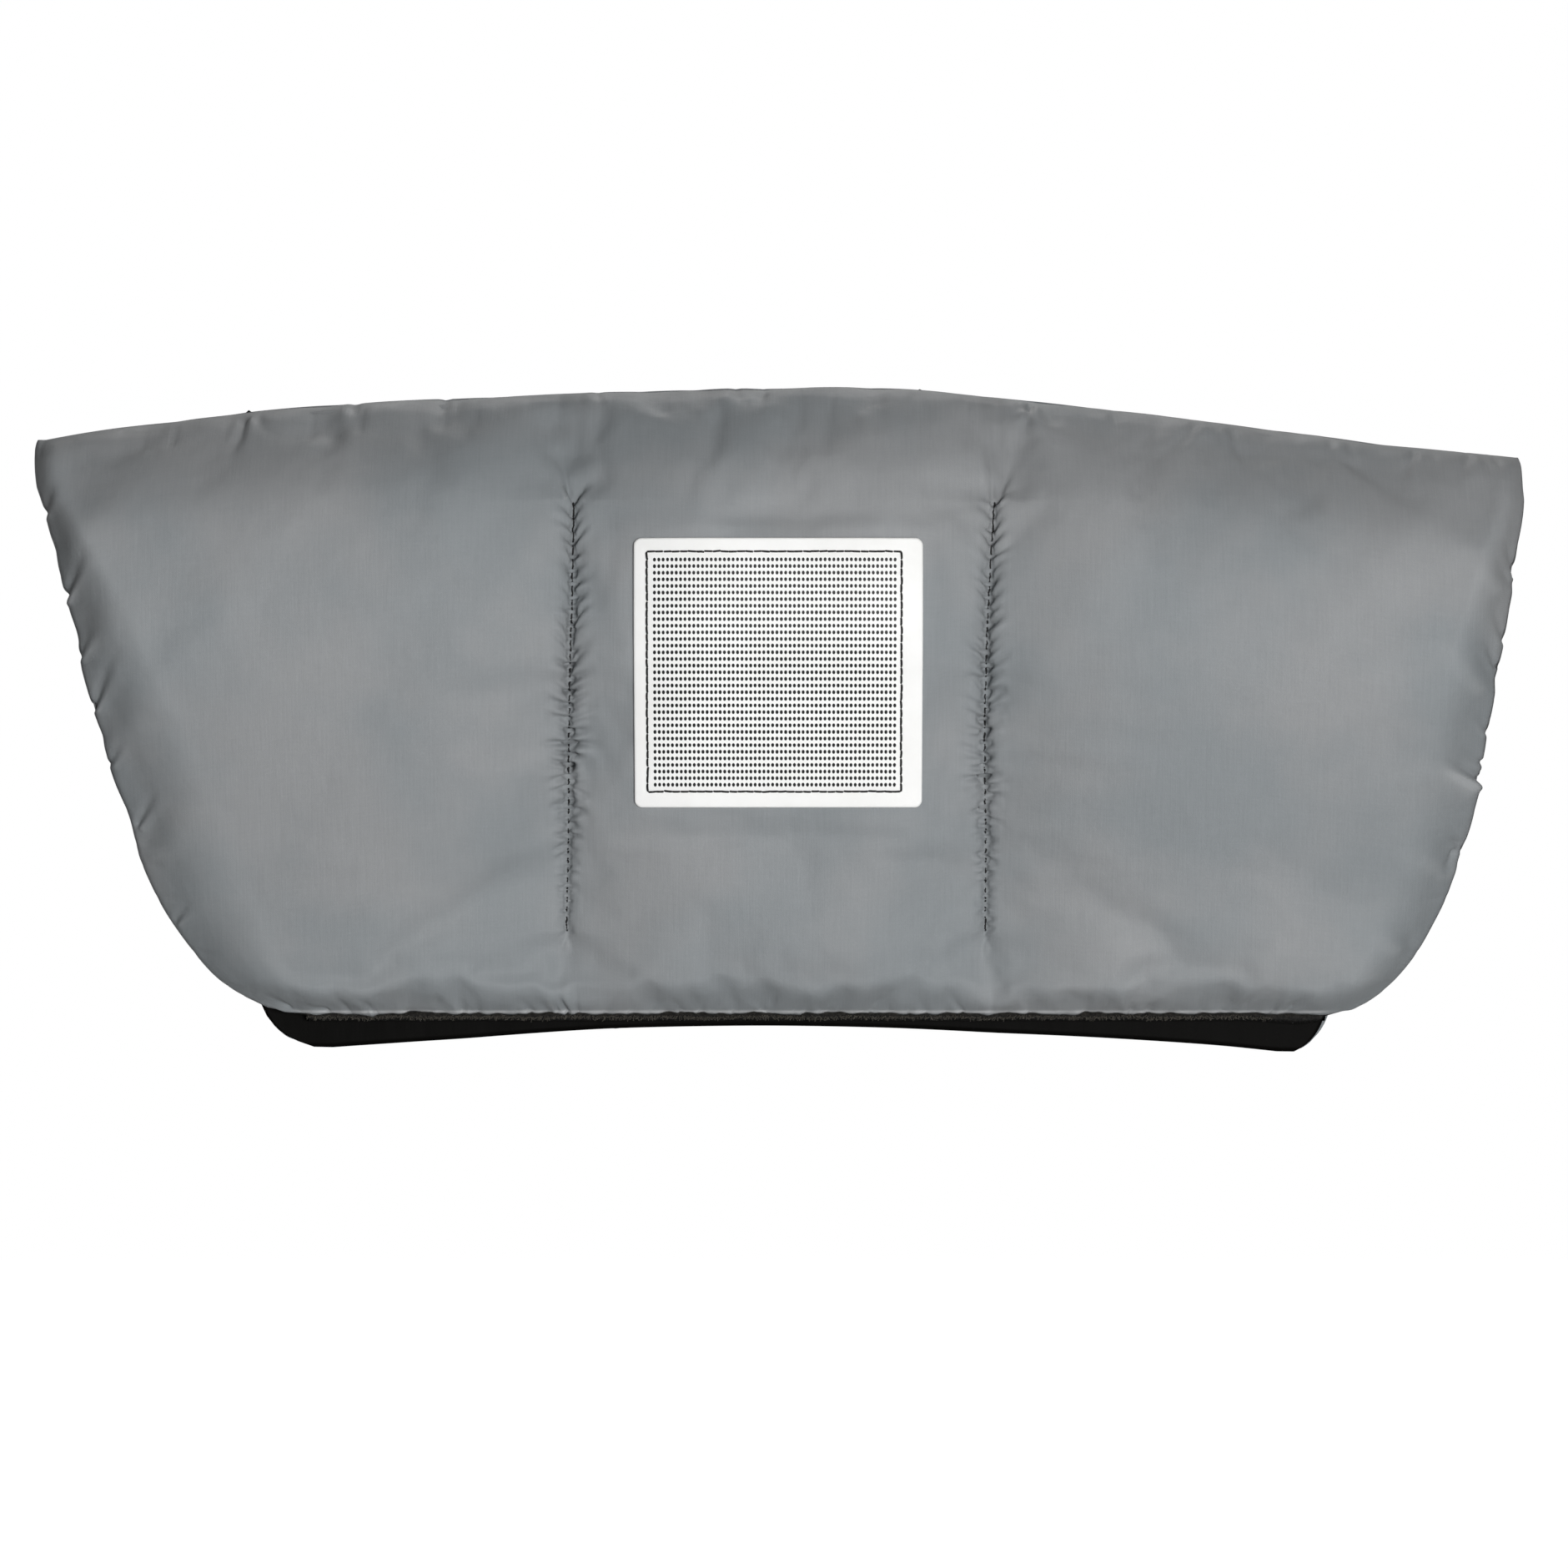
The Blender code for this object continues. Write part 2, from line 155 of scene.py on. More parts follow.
def slack_line(*marks):
    """A smooth line of small offsets from the outline, from pairs of place and offset in millimetres."""
    ruler = np.arange(-0.27, 0.27, 0.0005)
    places, offsets = np.array(marks).T / 1000
    spread = bell(np.arange(-40, 41) * 0.0005, 0.007)
    line = np.pad(np.interp(ruler, places, offsets), 40, "edge")
    return ruler, np.convolve(line, spread / spread.sum(), "valid")


top_slack = slack_line(
    (-249, 3.2), (-231, 3), (-205, 2.2), (-160, 1.9), (-130, 1.2), (-100, 0.3), (-70, 0.2), (-30, 0.8),
    (0, 1), (20, 2.2), (46, 2.8), (75, 1.9), (100, 2), (125, 1.8), (150, 1.3), (175, 1), (200, 0.3),
    (230, 0.8), (249, 1.4),
)
front_left_slack = slack_line(
    (-157, 0.5), (-140, 0.3), (-125, -0.9), (-95, -1.5), (-75, -0.7), (-53, 0.3), (-32, -0.9), (-12, -1.1),
    (8, 0.2), (19, 0.1), (26, 1.6), (34, 2.9),
)
front_right_slack = slack_line(
    (-157, 1.5), (-146, 2.4), (-135, 2.3), (-125, 1.7), (-115, 1.1), (-94, 0.4), (-73, 0.4), (-53, -0.4),
    (-32, 0), (-12, 0), (8, 0.3), (19, -0.2), (26, 0.3), (34, 0.6),
)
rear_left_slack = slack_line((-168, 2.8), (-150, 2.6), (-110, 0), (5, 0), (19, 0.1), (26, 1.6), (34, 2.9))
rear_right_slack = slack_line((-168, 1.6), (-150, 1.4), (-110, 0), (5, 0), (19, -0.2), (26, 0.3), (34, 0.6))
front_low_slack = slack_line((-249, 0), (249, 0))
rear_low_slack = slack_line(
    (-170, -0.3), (-133, -1.1), (-107, -1.4), (-60, -0.6), (-5, -0.9), (40, -1.5), (72, -2.2), (120, -2),
    (150, -1.8), (175, -2.2),
)
left_end_top = crest_rise - left_drop
right_end_top = crest_rise - right_drop
front = Panel(
    "front", -1, front_low, 0, 0.0025,
    Side(left_end_top, 0.25, 0.044, 0.062, front_left_slack),
    Side(right_end_top, 0.16, 0.038, 0.075, front_right_slack),
    front_left_seam, front_right_seam, front_low_slack,
)
rear = Panel(
    "rear", 1, rear_low, rear_edge_rise, 0.0010,
    Side(left_end_top, 0.430, 0.012, 0.012, rear_left_slack),
    Side(right_end_top, 0.378, 0.006, 0.010, rear_right_slack),
    rear_left_seam, rear_right_seam, rear_low_slack,
)


def top_edge(x):
    left = x < crest_offset
    drop = np.where(left, left_drop, right_drop)
    power = np.where(left, left_arch_power, right_arch_power)
    run = np.where(left, half_width + crest_offset, half_width - crest_offset)
    arch = crest_rise - drop * np.clip(np.abs(x - crest_offset) / run, 0, 1) ** power
    return arch + np.interp(x, *top_slack)


def low_edge(panel, x):
    bow = panel.edge_rise * np.maximum(1 - ((x - rear_edge_offset) / rear_edge_run) ** 2, 0)
    return panel.low + bow + np.interp(x, *panel.low_slack)


def side_reach(side, low, z):
    slant_drop = np.maximum(side.end_top - blunt_end - z, 0)
    share = np.clip(1 - (z - low) / side.corner_height, 0, 1)
    corner = side.corner_width * (1 - np.sqrt(1 - share**2))
    return half_width - side.slant * slant_drop - corner + np.interp(z, *side.slack)


def reach(panel, x, z):
    left_low, right_low = panel.low + panel.low_slack[1][[0, -1]]
    return np.where(x < 0, side_reach(panel.left, left_low, z), side_reach(panel.right, right_low, z))


def seam_line(panel, x, z):
    """The x of the quilting seam on the side where x lies."""
    left = np.interp(z, seam_heights, panel.left_seam)
    return np.where(x < 0, left, np.interp(z, seam_heights, panel.right_seam))


def along(share, seam, end):
    """A smooth way out from the middle, which passes the seam at its share and the end at 1."""
    straight = (seam - end * seam_share**3) / (seam_share - seam_share**3)
    return straight * share + (end - straight) * share**3


def column(panel, u, z):
    return np.copysign(along(np.abs(u), np.abs(seam_line(panel, u, z)), reach(panel, u, z)), u)


def spots(panel, us, vs, overhang=0.0):
    """The x and z of a grid of column shares and row shares."""
    u, v = np.meshgrid(us, vs)
    z = np.full_like(u, panel.low)
    for _ in range(8):
        x = column(panel, u, z)
        low = low_edge(panel, x) - overhang
        z = low + (top_edge(x) - low) * v
    return x, z


def channel(panel, x, z):
    past = np.maximum(np.maximum(z - seam_top, seam_bottom - z), 0)
    fade = ease(past / channel_fade)
    away = np.abs(x - seam_line(panel, x, z))
    blunt = 1e-5 + channel_blunt * ease(past / blunt_fade)
    at_seam = rise(blunt, channel_run)
    steep = (rise(np.hypot(away, blunt), channel_run) - at_seam) / (1 - at_seam)
    sharp = (1 - fade) * channel_sharp
    climb = sharp * steep + (1 - sharp) * ease(away / channel_run)
    return 1 - channel_depth * (1 - (1 - channel_end) * fade) * (1 - climb)


def edge_distances(panel, x, z):
    return top_edge(x) - z, reach(panel, x, z) - np.abs(x), z - low_edge(panel, x)


def rolled(distance, run, roll_run, roll_share):
    """Climbs like rise, but mostly within the roll of padding along the edge, and first straight."""
    share = np.clip(distance / roll_run, 0, 1)
    bent = np.maximum(share - straight_share, 0)
    roll = (share - bent**2 / (2 * (1 - straight_share))) / (straight_share + (1 - straight_share) / 2)
    return (1 - roll_share) * rise(distance, run) + roll_share * roll


def crown(panel, x, z):
    """How full the padding is, from 0 at the edges to 1."""
    to_top, to_side, to_low = edge_distances(panel, x, z)
    left_run = np.interp(z, roll_heights, left_roll_runs)
    side_roll_run = np.where(x < 0, left_run, np.interp(z, roll_heights, right_roll_runs))
    sides = rolled(to_side, side_run, side_roll_run, side_roll_share)
    uneven = 1 + 0.22 * wave(x, 0.085, 4) + 0.10 * wave(x, 0.021, 2)
    low = rolled(to_low, low_run, low_roll_run * uneven, low_roll_share)
    return sides * rise(to_top, top_run) * low * channel(panel, x, z)


def hang(share):
    """Falls from 1 to 0 with both ends rounded, as cloth hangs from the handlebar to the studs."""
    steep = 1 / (1 - hang_round)
    upper = 1 - steep * share**2 / (2 * hang_round)
    lower = steep * (1 - share) ** 2 / (2 * hang_round)
    middle = 1 - steep * (share - hang_round / 2)
    return np.where(share < hang_round, upper, np.where(share > 1 - hang_round, lower, middle))


def hollow(x, z):
    drop = top_edge(x) - z
    belly = top_edge(x) - belly_drop
    share = np.clip((belly - z) / (belly - closure), 0, 1)
    low_part = closed_half_gap + (hollow_half_depth - closed_half_gap) * hang(share)
    half = np.where(drop < belly_drop, hollow_half_depth * rise(drop, belly_drop), low_part)
    return np.maximum(half, seam_half_gap)


def outer_depth(panel, x, z, fullness=1.0):
    """Depth of the shell's face, rounded over to the seam at every edge."""
    to_top, to_side, to_low = edge_distances(panel, x, z)
    inner = (hollow(x, z) + panel.lining) * rise(to_top, top_round)
    rim = (seam_pocket + shell_thickness) * rise(np.minimum(np.minimum(to_top, to_side), to_low), rim_round)
    shoulder = shoulder_depth * bell(to_top - shoulder_drop, shoulder_run) * ease(to_side / 0.014)
    return inner + rim + fullness * puff * crown(panel, x, z) - shoulder


# Grids of cloth


def spaced(low, high, coarse, fine_places):
    """Places from low to high, coarse apart, and closer near each (place, run, step)."""
    ruler = np.linspace(low, high, 6000)
    step = np.full_like(ruler, coarse)
    for place, run, near in fine_places:
        step = np.minimum(step, near + (coarse - near) * ease(np.abs(ruler - place) / run - 1))
    count = np.concatenate([[0], np.cumsum(np.diff(ruler) / step[1:])])
    return np.interp(np.linspace(0, count[-1], round(count[-1]) + 1), count, ruler)


def column_shares(coarse, seam_step, edge_step):
    """Column shares from the left side to the right one, closer at the seams and the sides."""
    seam = abs(rear_left_seam[0])
    marks = [(seam, 0.007, seam_step), (half_width, 0.018, 0.0013), (half_width, 0.003, edge_step)]
    half = spaced(0, half_width, coarse, marks)
    ruler = np.linspace(0, 1, 4001)
    share = np.interp(half, along(ruler, seam, half_width), ruler)
    return np.concatenate([-share[:0:-1], share])


def row_shares(coarse, seam_step, edge_step):
    """Row shares from the lower edge to the top one, closer along the seams and at both edges."""
    tall = crest_rise - front_low
    middle, run = (seam_top + seam_bottom) / 2 - front_low, (seam_top - seam_bottom) / 2
    marks = [(0, 0.003, edge_step), (tall, 0.003, edge_step), (middle, run, seam_step)]
    return spaced(0, tall, coarse, marks) / tall


def into(shape, places):
    """Adds a grid of quads whose corner in row r and column c lies at places[r, c]."""
    rows, columns = places.shape[:2]
    made = bmesh.ops.create_grid(shape, x_segments=columns - 1, y_segments=rows - 1, size=1)
    for corner in made["verts"]:
        c = round((corner.co.x + 1) / 2 * (columns - 1))
        r = round((corner.co.y + 1) / 2 * (rows - 1))
        corner.co = places[r, c]


def normals_of(places, facing):
    """Unit normals of a grid of places, on the side that the panel faces."""
    across = np.gradient(places, axis=1)
    up = np.gradient(places, axis=0)
    normal = np.cross(across, up) * -facing
    return normal / np.maximum(np.linalg.norm(normal, axis=2, keepdims=True), 1e-12)


def set_all(item, **settings):
    for key, value in settings.items():
        setattr(item, key, value)
    return item


def new_object(name, data):
    made = bpy.data.objects.new(name, data)
    scene.collection.objects.link(made)
    return made


def points_of(mesh):
    points = np.zeros(len(mesh.vertices) * 3)
    mesh.vertices.foreach_get("co", points)
    return points.reshape(-1, 3)


def mesh_piece(name, shape, finish, cloth=None):
    """Turns a bmesh into a piece. cloth says where its first points lie on the flat cloth."""
    mesh = bpy.data.meshes.new(name)
    shape.to_mesh(mesh)
    shape.free()
    made = new_object(name, mesh)
    mesh.materials.append(finish)
    mesh.shade_smooth()
    if cloth is not None:
        flat = points_of(mesh)[:, ::2]
        flat[: len(cloth)] = cloth
        corners = np.zeros(len(mesh.loops), int)
        mesh.loops.foreach_get("vertex_index", corners)
        mesh.uv_layers.new(name="cloth").data.foreach_set("uv", flat[corners].ravel())
    return made


def flat_places(places):
    """Where each corner of the grid lies on the flat cloth: along its row and down its column."""
    steps = np.linalg.norm(np.diff(places, axis=0), axis=2)
    down = np.concatenate([np.zeros((1, places.shape[1])), np.cumsum(steps, axis=0)])
    return np.dstack([places[..., 0], down]).reshape(-1, 2)


def closed_body(name, face, back, finish):
    """A body with a fine face and a plain back, joined all round by a rim."""
    shape = bmesh.new()
    into(shape, face)
    into(shape, back)
    rims = [edge for edge in shape.edges if edge.is_boundary]
    bmesh.ops.triangle_fill(shape, use_beauty=True, edges=rims, normal=(0, 1, 0))
    bmesh.ops.recalc_face_normals(shape, faces=shape.faces[:])
    return mesh_piece(name, shape, finish, flat_places(face))


# Baking each piece's transform into its mesh


def bend(piece):
    """Moves the piece's transform into its mesh and reads its points, which nothing uses; it bends nothing."""
    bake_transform(piece)
    x, y, z = points_of(piece.data).T


# Padding, from a cloth simulation

even_columns = 133
even_rows = 57
slack_fullness = 0.82
held_fullness = 0.18
held_seam = 0.008
held_patch = 0.01
padding_cap = 0.005
edge_calm = 0.006
side_edge_share = 0.2
side_calm = 0.060
calm_share = 0.45
calm_run = 0.030


def spline_weights(targets, count):
    """Cubic spline weights of evenly spaced values at each target, which runs from 0 to 1."""
    place = targets * (count - 1)
    cell = np.clip(np.floor(place).astype(int), 0, count - 2)
    t = place - cell
    basis = ((1 - t) ** 3, 3 * t**3 - 6 * t**2 + 4, -3 * t**3 + 3 * t**2 + 3 * t + 1, t**3)
    weights = np.zeros((len(targets), count))
    for step, value in enumerate(basis):
        np.add.at(weights, (np.arange(len(targets)), np.clip(cell + step - 1, 0, count - 1)), value / 6)
    return weights


def over_patch(x, z, spare):
    """1 under the patch, easing to 0 beyond its edges over the spare distance."""
    beyond = np.maximum(
        np.abs(x - patch_middle[0]) - patch_size[0] / 2, np.abs(z - patch_middle[1]) - patch_size[1] / 2
    )
    return 1 - ease(beyond / spare)


def puffed(panel, start, held):
    """The even grid after twenty steps under pressure, slack all over and held at its edges and seams."""
    shape = bmesh.new()
    into(shape, start)
    made = mesh_piece("padding", shape, None)
    made.vertex_groups.new(name="held").add(np.flatnonzero(held.ravel()).tolist(), 1.0, "REPLACE")
    cloth = made.modifiers.new("cloth", "CLOTH")
    set_all(
        cloth.settings, quality=6, mass=0.15, tension_stiffness=12, compression_stiffness=12,
        shear_stiffness=4, bending_stiffness=0.05, vertex_group_mass="held", use_pressure=True,
        uniform_pressure_force=-4 * panel.facing, shrink_min=-0.035,
    )
    cloth.settings.effector_weights.gravity = 0
    cloth.collision_settings.use_collision = False
    for step in range(1, 21):
        scene.frame_set(step)
    mesh = made.evaluated_get(bpy.context.evaluated_depsgraph_get()).to_mesh()
    after = points_of(mesh)
    bpy.data.objects.remove(made)
    scene.frame_set(1)
    return after.reshape(start.shape)


def padding(panel, us, vs):
    """How far stuffing and slack cloth move each corner of the grid, simulated on an even grid."""
    moves = np.zeros((len(vs), len(us), 3))
    even_u, even_v = np.linspace(-1, 1, even_columns), np.linspace(0, 1, even_rows)
    x, z = spots(panel, even_u, even_v)
    at_seam = bell(x - seam_line(panel, x, z), held_seam) * (z < seam_top) * (z > seam_bottom)
    fixed = np.maximum(at_seam, over_patch(x, z, held_patch) * (panel is front))
    target, start = (
        np.dstack([x, panel.facing * outer_depth(panel, x, z, fullness), z])
        for fullness in (1.0, slack_fullness + held_fullness * fixed)
    )
    rim = (np.abs(even_u) > 0.999)[None, :] | ((even_v < 0.001) | (even_v > 0.999))[:, None]
    moved = puffed(panel, start, rim | (fixed > 0.9)) - target
    to_top, to_side, to_low = edge_distances(panel, x, z)
    nearest = np.minimum(to_top, to_low)
    strength = calm_share + (1 - calm_share) * bell(nearest, calm_run)
    sides = side_edge_share * ease(to_side / edge_calm) + (1 - side_edge_share) * ease(to_side / side_calm)
    moved *= (strength * ease(nearest / edge_calm) * sides)[..., None]
    size = np.linalg.norm(moved, axis=2, keepdims=True)
    moved *= np.minimum(1, padding_cap / np.maximum(size, 1e-9))
    across, up = spline_weights((us + 1) / 2, even_columns), spline_weights(vs, even_rows)
    for axis in range(3):
        moves[..., axis] = up @ moved[..., axis] @ across.T
    return moves


# Creases, as heights above the smooth cloth

# Start x and z, angle above the X axis in degrees, length, depth and width, in millimetres
top_creases = (
    (-180.6, 43.8, -100, 15, 1.3, 1.5), (-176, 44, -40, 12, 0.6, 1.8), (-144.2, 49.3, -70, 12, 0.7, 2),
    (-113.4, 50.8, -115, 12, 0.7, 1.8), (-62, 52, -80, 9, 0.5, 1.8), (-15.4, 52.9, -60, 12, 0.7, 2.2),
    (-6, 53, -110, 9, 0.5, 1.5), (45, 51.6, -65, 12, 0.5, 2), (83.7, 47.9, -100, 10, 1.3, 1.3),
    (83.7, 47.9, -160, 16, 0.7, 1.6), (112, 45.2, -75, 12, 0.5, 2), (139.7, 42, -135, 20, 1, 1.7),
    (151.8, 40, -78, 13, 0.8, 1.8), (185, 36.2, -110, 12, 0.5, 2), (213, 32.4, -125, 15, 1.1, 1.5),
    (231.6, 31, -128, 13, 0.9, 1.6), (240, 30.2, -75, 8, 0.6, 1.5),
)
front_creases = (
    (-247.2, 9.8, 66, 13, 0.9, 1.3), (-239.4, -18.2, 62, 19, 1.3, 1.4), (-234.4, -37.8, 66, 12, 0.7, 1.3),
    (-230.4, -54.6, 64, 21, 1.3, 1.5), (-225, -73, 58, 10, 0.6, 1.2), (-217, -93.8, 58, 14, 1.1, 1.3),
    (-204.4, -126, 52, 9, 0.7, 1.2), (246.1, -10.9, 109, 13, 1.3, 1.2), (241.4, -32.2, 112, 15, 0.7, 1.5),
    (238.8, -40.6, 116, 11, 0.9, 1.2), (236.6, -63, 118, 8, 0.6, 1.2), (236.3, -73, 160, 7, 0.9, 1),
    (235.4, -79, 149, 16, 1.6, 1.3), (227.1, -102.6, 238, 9, 1.1, 1.1), (228.4, -101, 122, 8, 0.6, 1.2),
    (-72, -156.6, 116, 8, 1.3, 0.9), (-75, -156.4, 106, 7, 0.9, 0.9), (-153.2, -155.9, 166, 10, 0.8, 1),
    (-166, -155, 150, 9, 0.7, 1), (-107, -156, 108, 7, 0.5, 1), (-23.5, -156, 64, 7, 0.5, 1),
    (118, -156, 100, 8, 0.5, 1.1), (171, -155, 40, 10, 0.6, 1.1), (-71.4, -79, 180, 24, 0.12, 1.5),
    (-71, -79.4, 1, 26, 0.16, 1.2), (-70.3, 15.2, 103, 12, 0.9, 0.8), (70.6, 12.6, 97, 20, 0.6, 0.8),
    (72, 13.6, 70, 14, 0.7, 0.9), (-72.6, -130.4, 250, 6, 0.5, 0.8), (-71.8, -130.4, 290, 6, 0.4, 0.8),
    (68.4, -131.4, 258, 6, 0.5, 0.8), (69.2, -131.4, 292, 5, 0.4, 0.8), (244, -12, 120, 26, 0.6, 4),
    (238.5, -45, 118, 28, 0.7, 4.4), (236, -76, 145, 25, 0.8, 4), (228, -104, 140, 25, 0.7, 4.4),
    (212, -132, 130, 21, 0.6, 4), (-243, -2, 62, 24, 0.4, 4.4), (-236, -32, 60, 26, 0.5, 4.4),
    (-228, -64, 60, 26, 0.5, 4.4), (-214, -100, 55, 24, 0.4, 4.4),
)
rear_creases = (
    (-238, -12, 64, 15, 1, 1.3), (-226, -40, 60, 18, 1.2, 1.4), (-212, -72, 58, 14, 0.9, 1.3),
    (-196, -108, 62, 16, 1.1, 1.3), (240, -4, 116, 12, 0.9, 1.3), (228, -34, 120, 18, 1.1, 1.4),
    (214, -70, 126, 14, 1, 1.3), (199, -110, 118, 15, 0.9, 1.3), (-120, -166, 80, 12, 0.8, 1.2),
    (20, -160.5, 100, 10, 0.7, 1.2), (96, -163, 76, 12, 0.7, 1.2),
)


longer = 1.15
deeper = 1.3
ridge_share = 0.4
ridge_away = 2.2
ridge_spread = 1.3
edge_slip = -0.0002


def add_crease(lift, x, z, start, angle, length, depth, width, side=0):
    """Adds a furrow from its start at an angle above the X axis, which fades out, with a ridge below it.

    A side of 1 or -1 keeps it to the right or to the left of its start."""
    room = length + 6 * width
    near = np.nonzero((np.abs(x - start[0]) < room) & (np.abs(z - start[1]) < room))
    right, up = x[near] - start[0], z[near] - start[1]
    c, s = math.cos(angle), math.sin(angle)
    onward = right * c + up * s
    away = (up * c - right * s) * (1 if c > 0 else -1)
    share = onward / length
    past = np.clip(share, 0, 1)
    strength = np.where(share < 0, np.maximum(1 + onward / width, 0), (1 - past) ** 1.2)
    spread = width * (0.75 + 0.9 * past)
    furrow = ridge_share * bell(away + ridge_away * spread, ridge_spread * spread) - bell(away, spread)
    lift[near] += strength * depth * furrow * (right * side > edge_slip)


def listed_creases(x, z, listed):
    lift = np.zeros_like(x)
    for start_x, start_z, degrees, length, depth, width in listed:
        start, angle = (start_x / 1000, start_z / 1000), math.radians(degrees)
        add_crease(lift, x, z, start, angle, longer * length / 1000, deeper * depth / 1000, width / 1000)
    return lift


def own_creases(panel, x, z):
    return listed_creases(x, z, front_creases if panel is front else rear_creases)


hem_span = (-0.150, 0.168)
hem_count = 40
hem_tilt = 42


def hem_creases(panel, x, z):
    """Short creases that run up from the lower edge, where the cloth is turned under and sewn."""
    lift = np.zeros_like(x)
    random = np.random.default_rng(31 + panel.facing)
    for place in np.linspace(*hem_span, hem_count) + random.normal(0, 0.003, hem_count):
        start = (place, float(low_edge(panel, place)) + 0.0008)
        angle = math.radians(90 + random.uniform(-hem_tilt, hem_tilt))
        length, depth = random.uniform(0.005, 0.015), random.uniform(0.0002, 0.0008)
        add_crease(lift, x, z, start, angle, length, depth, random.uniform(0.0007, 0.0014))
    return lift


def stitch_heights():
    """Heights of the stitches of a quilting seam, further apart at the top."""
    heights, z = [], seam_top - 0.0006
    while z > seam_bottom:
        heights.append(z)
        z -= 0.0033 + 0.0012 * float(ease((z + 0.095) / 0.06))
    return heights


def seam_place(panel, sign, height):
    return float(seam_line(panel, np.array(sign * 1.0), np.array(height)))


def seam_creases(panel, x, z):
    """Furrows that the stitches of the quilting seams draw into the shell, like the branches of a fir.

    The upper ones slant up and are longer, and the middle ones are the deepest."""
    lift = np.zeros_like(x)
    random = np.random.default_rng(5 + panel.facing)
    for sign in (-1, 1):
        starts = stitch_heights()
        starts += [height - 0.0017 for height in starts if height < -0.005]
        for index, height in enumerate(starts):
            upper = float(ease((height + 0.085) / 0.06))
            middle = float(bell(height + 0.068, 0.030))
            centre = seam_place(panel, sign, height)
            share = 1 if index < len(starts) / 2 else 0.75
            for way in (-1, 1):
                tilt = math.radians(upper * random.uniform(24, 60) + (1 - upper) * random.uniform(-26, 22))
                angle = tilt if way > 0 else math.pi - tilt
                length = 0.0042 + 0.0052 * upper * random.uniform(0.3, 1.2) + 0.0062 * middle * random.random()
                depth = share * (0.0013 + 0.0002 * upper + 0.0015 * middle) * random.uniform(0.35, 1.25)
                width = (0.00055 + 0.00022 * upper + 0.0002 * middle) * random.uniform(0.8, 1.35)
                add_crease(lift, x, z, (centre, height), angle, length, depth, width, way)
            pocket = centre + random.choice((-1, 1)) * random.uniform(0.0006, 0.0018)
            depth = random.uniform(0.3, 1.0) * (0.0005 + 0.0009 * middle)
            lift -= depth * bell(np.hypot(x - pocket, z - height), 0.0012)
        away = np.abs(x - seam_line(panel, np.full_like(x, sign), z))
        inside = ease((seam_top + 0.001 - z) / 0.003) * ease((z - seam_bottom + 0.001) / 0.003)
        lift -= 0.0004 * bell(away, 0.0010) * inside
    return lift


gather_depth = 0.0008


def edge_lift(panel, x, z):
    """Bumps and gathers where the cloth is turned over the sewn edges."""
    to_top, to_side, to_low = edge_distances(panel, x, z)
    bumps = 0.00035 * wave(x, 0.034, 1) * bell(to_top, 0.007)
    bumps += 0.0004 * wave(x, 0.023, 2 + panel.facing) * bell(to_low, 0.006) * (1 if panel is front else 0.4)
    bumps += 0.0004 * wave(z, 0.034, 4 + np.sign(x)) * bell(to_side, 0.008)
    patchy, patchy_side = 0.5 + 0.5 * wave(x, 0.055, 3), 0.5 + 0.5 * wave(z, 0.05, 2)
    gathers = 0
    for line, size, seed, share, away, run in (
        (x, 0.0078, 7, patchy, to_low - 0.004, 0.0045), (x, 0.0092, 9, 1 - patchy, to_top - 0.005, 0.005),
        (z, 0.0098, 8, patchy_side, to_side - 0.004, 0.004),
    ):
        gathers = gathers + np.maximum(wave(line, size, seed), 0) ** 2 * share * bell(away, run)
    return bumps - gather_depth * gathers


def slow_lift(x, z):
    """Faint unevenness of the stuffing."""
    return 0.00035 * (wave(x + 0.4 * z, 0.083, 2) * wave(z - 0.2 * x, 0.061, 5) + wave(x - 0.7 * z, 0.047, 6))


# Materials


def fill(tree, socket, value):
    if isinstance(value, bpy.types.NodeSocket):
        tree.links.new(value, socket)
    else:
        socket.default_value = value


def connect(tree, made, **sockets):
    """Sets named sockets of a node to values, or links them to other nodes' sockets."""
    for key, value in sockets.items():
        fill(tree, made.inputs[key.replace("_", " ")], value)


def node(tree, kind, **settings):
    return set_all(tree.nodes.new("ShaderNode" + kind), **settings)


def fed(tree, made, *values):
    """The first output of a node whose first sockets take these values."""
    for socket, value in zip(made.inputs, values):
        fill(tree, socket, value)
    return made.outputs[0]


def material(name):
    """A new material, its node tree and shader, and the Object coordinates."""
    made = bpy.data.materials.new(name)
    made.use_nodes = True
    tree = made.node_tree
    return made, tree, tree.nodes["Principled BSDF"], node(tree, "TexCoord").outputs["Object"]


def calc(tree, operation, first, second=0.0, third=0.0):
    return fed(tree, node(tree, "Math", operation=operation), first, second, third)


def times(tree, first, second):
    return calc(tree, "MULTIPLY", first, second)


def scaled(tree, vector, scales):
    """A vector times one scale, or times a scale for each axis."""
    scales = scales if isinstance(scales, tuple) else (scales,) * 3
    return fed(tree, node(tree, "VectorMath", operation="MULTIPLY"), vector, scales)


def parted(tree, vector):
    made = node(tree, "SeparateXYZ")
    connect(tree, made, Vector=vector)
    return made.outputs


def mixed(tree, share, first, second):
    """A mix of two colours, each one a socket or red, green and blue."""
    made = node(tree, "Mix", data_type="RGBA")
    connect(tree, made, Factor=share)
    for index, colour in ((6, first), (7, second)):
        fill(tree, made.inputs[index], (*colour, 1) if isinstance(colour, tuple) else colour)
    return made.outputs[2]


def speckle(tree, vector, scales, detail=2.0, roughness=0.5):
    """Noise at so many lumps per metre along each axis."""
    made = node(tree, "TexNoise")
    connect(tree, made, Vector=scaled(tree, vector, scales), Scale=1.0, Detail=detail, Roughness=roughness)
    return made.outputs["Fac"]


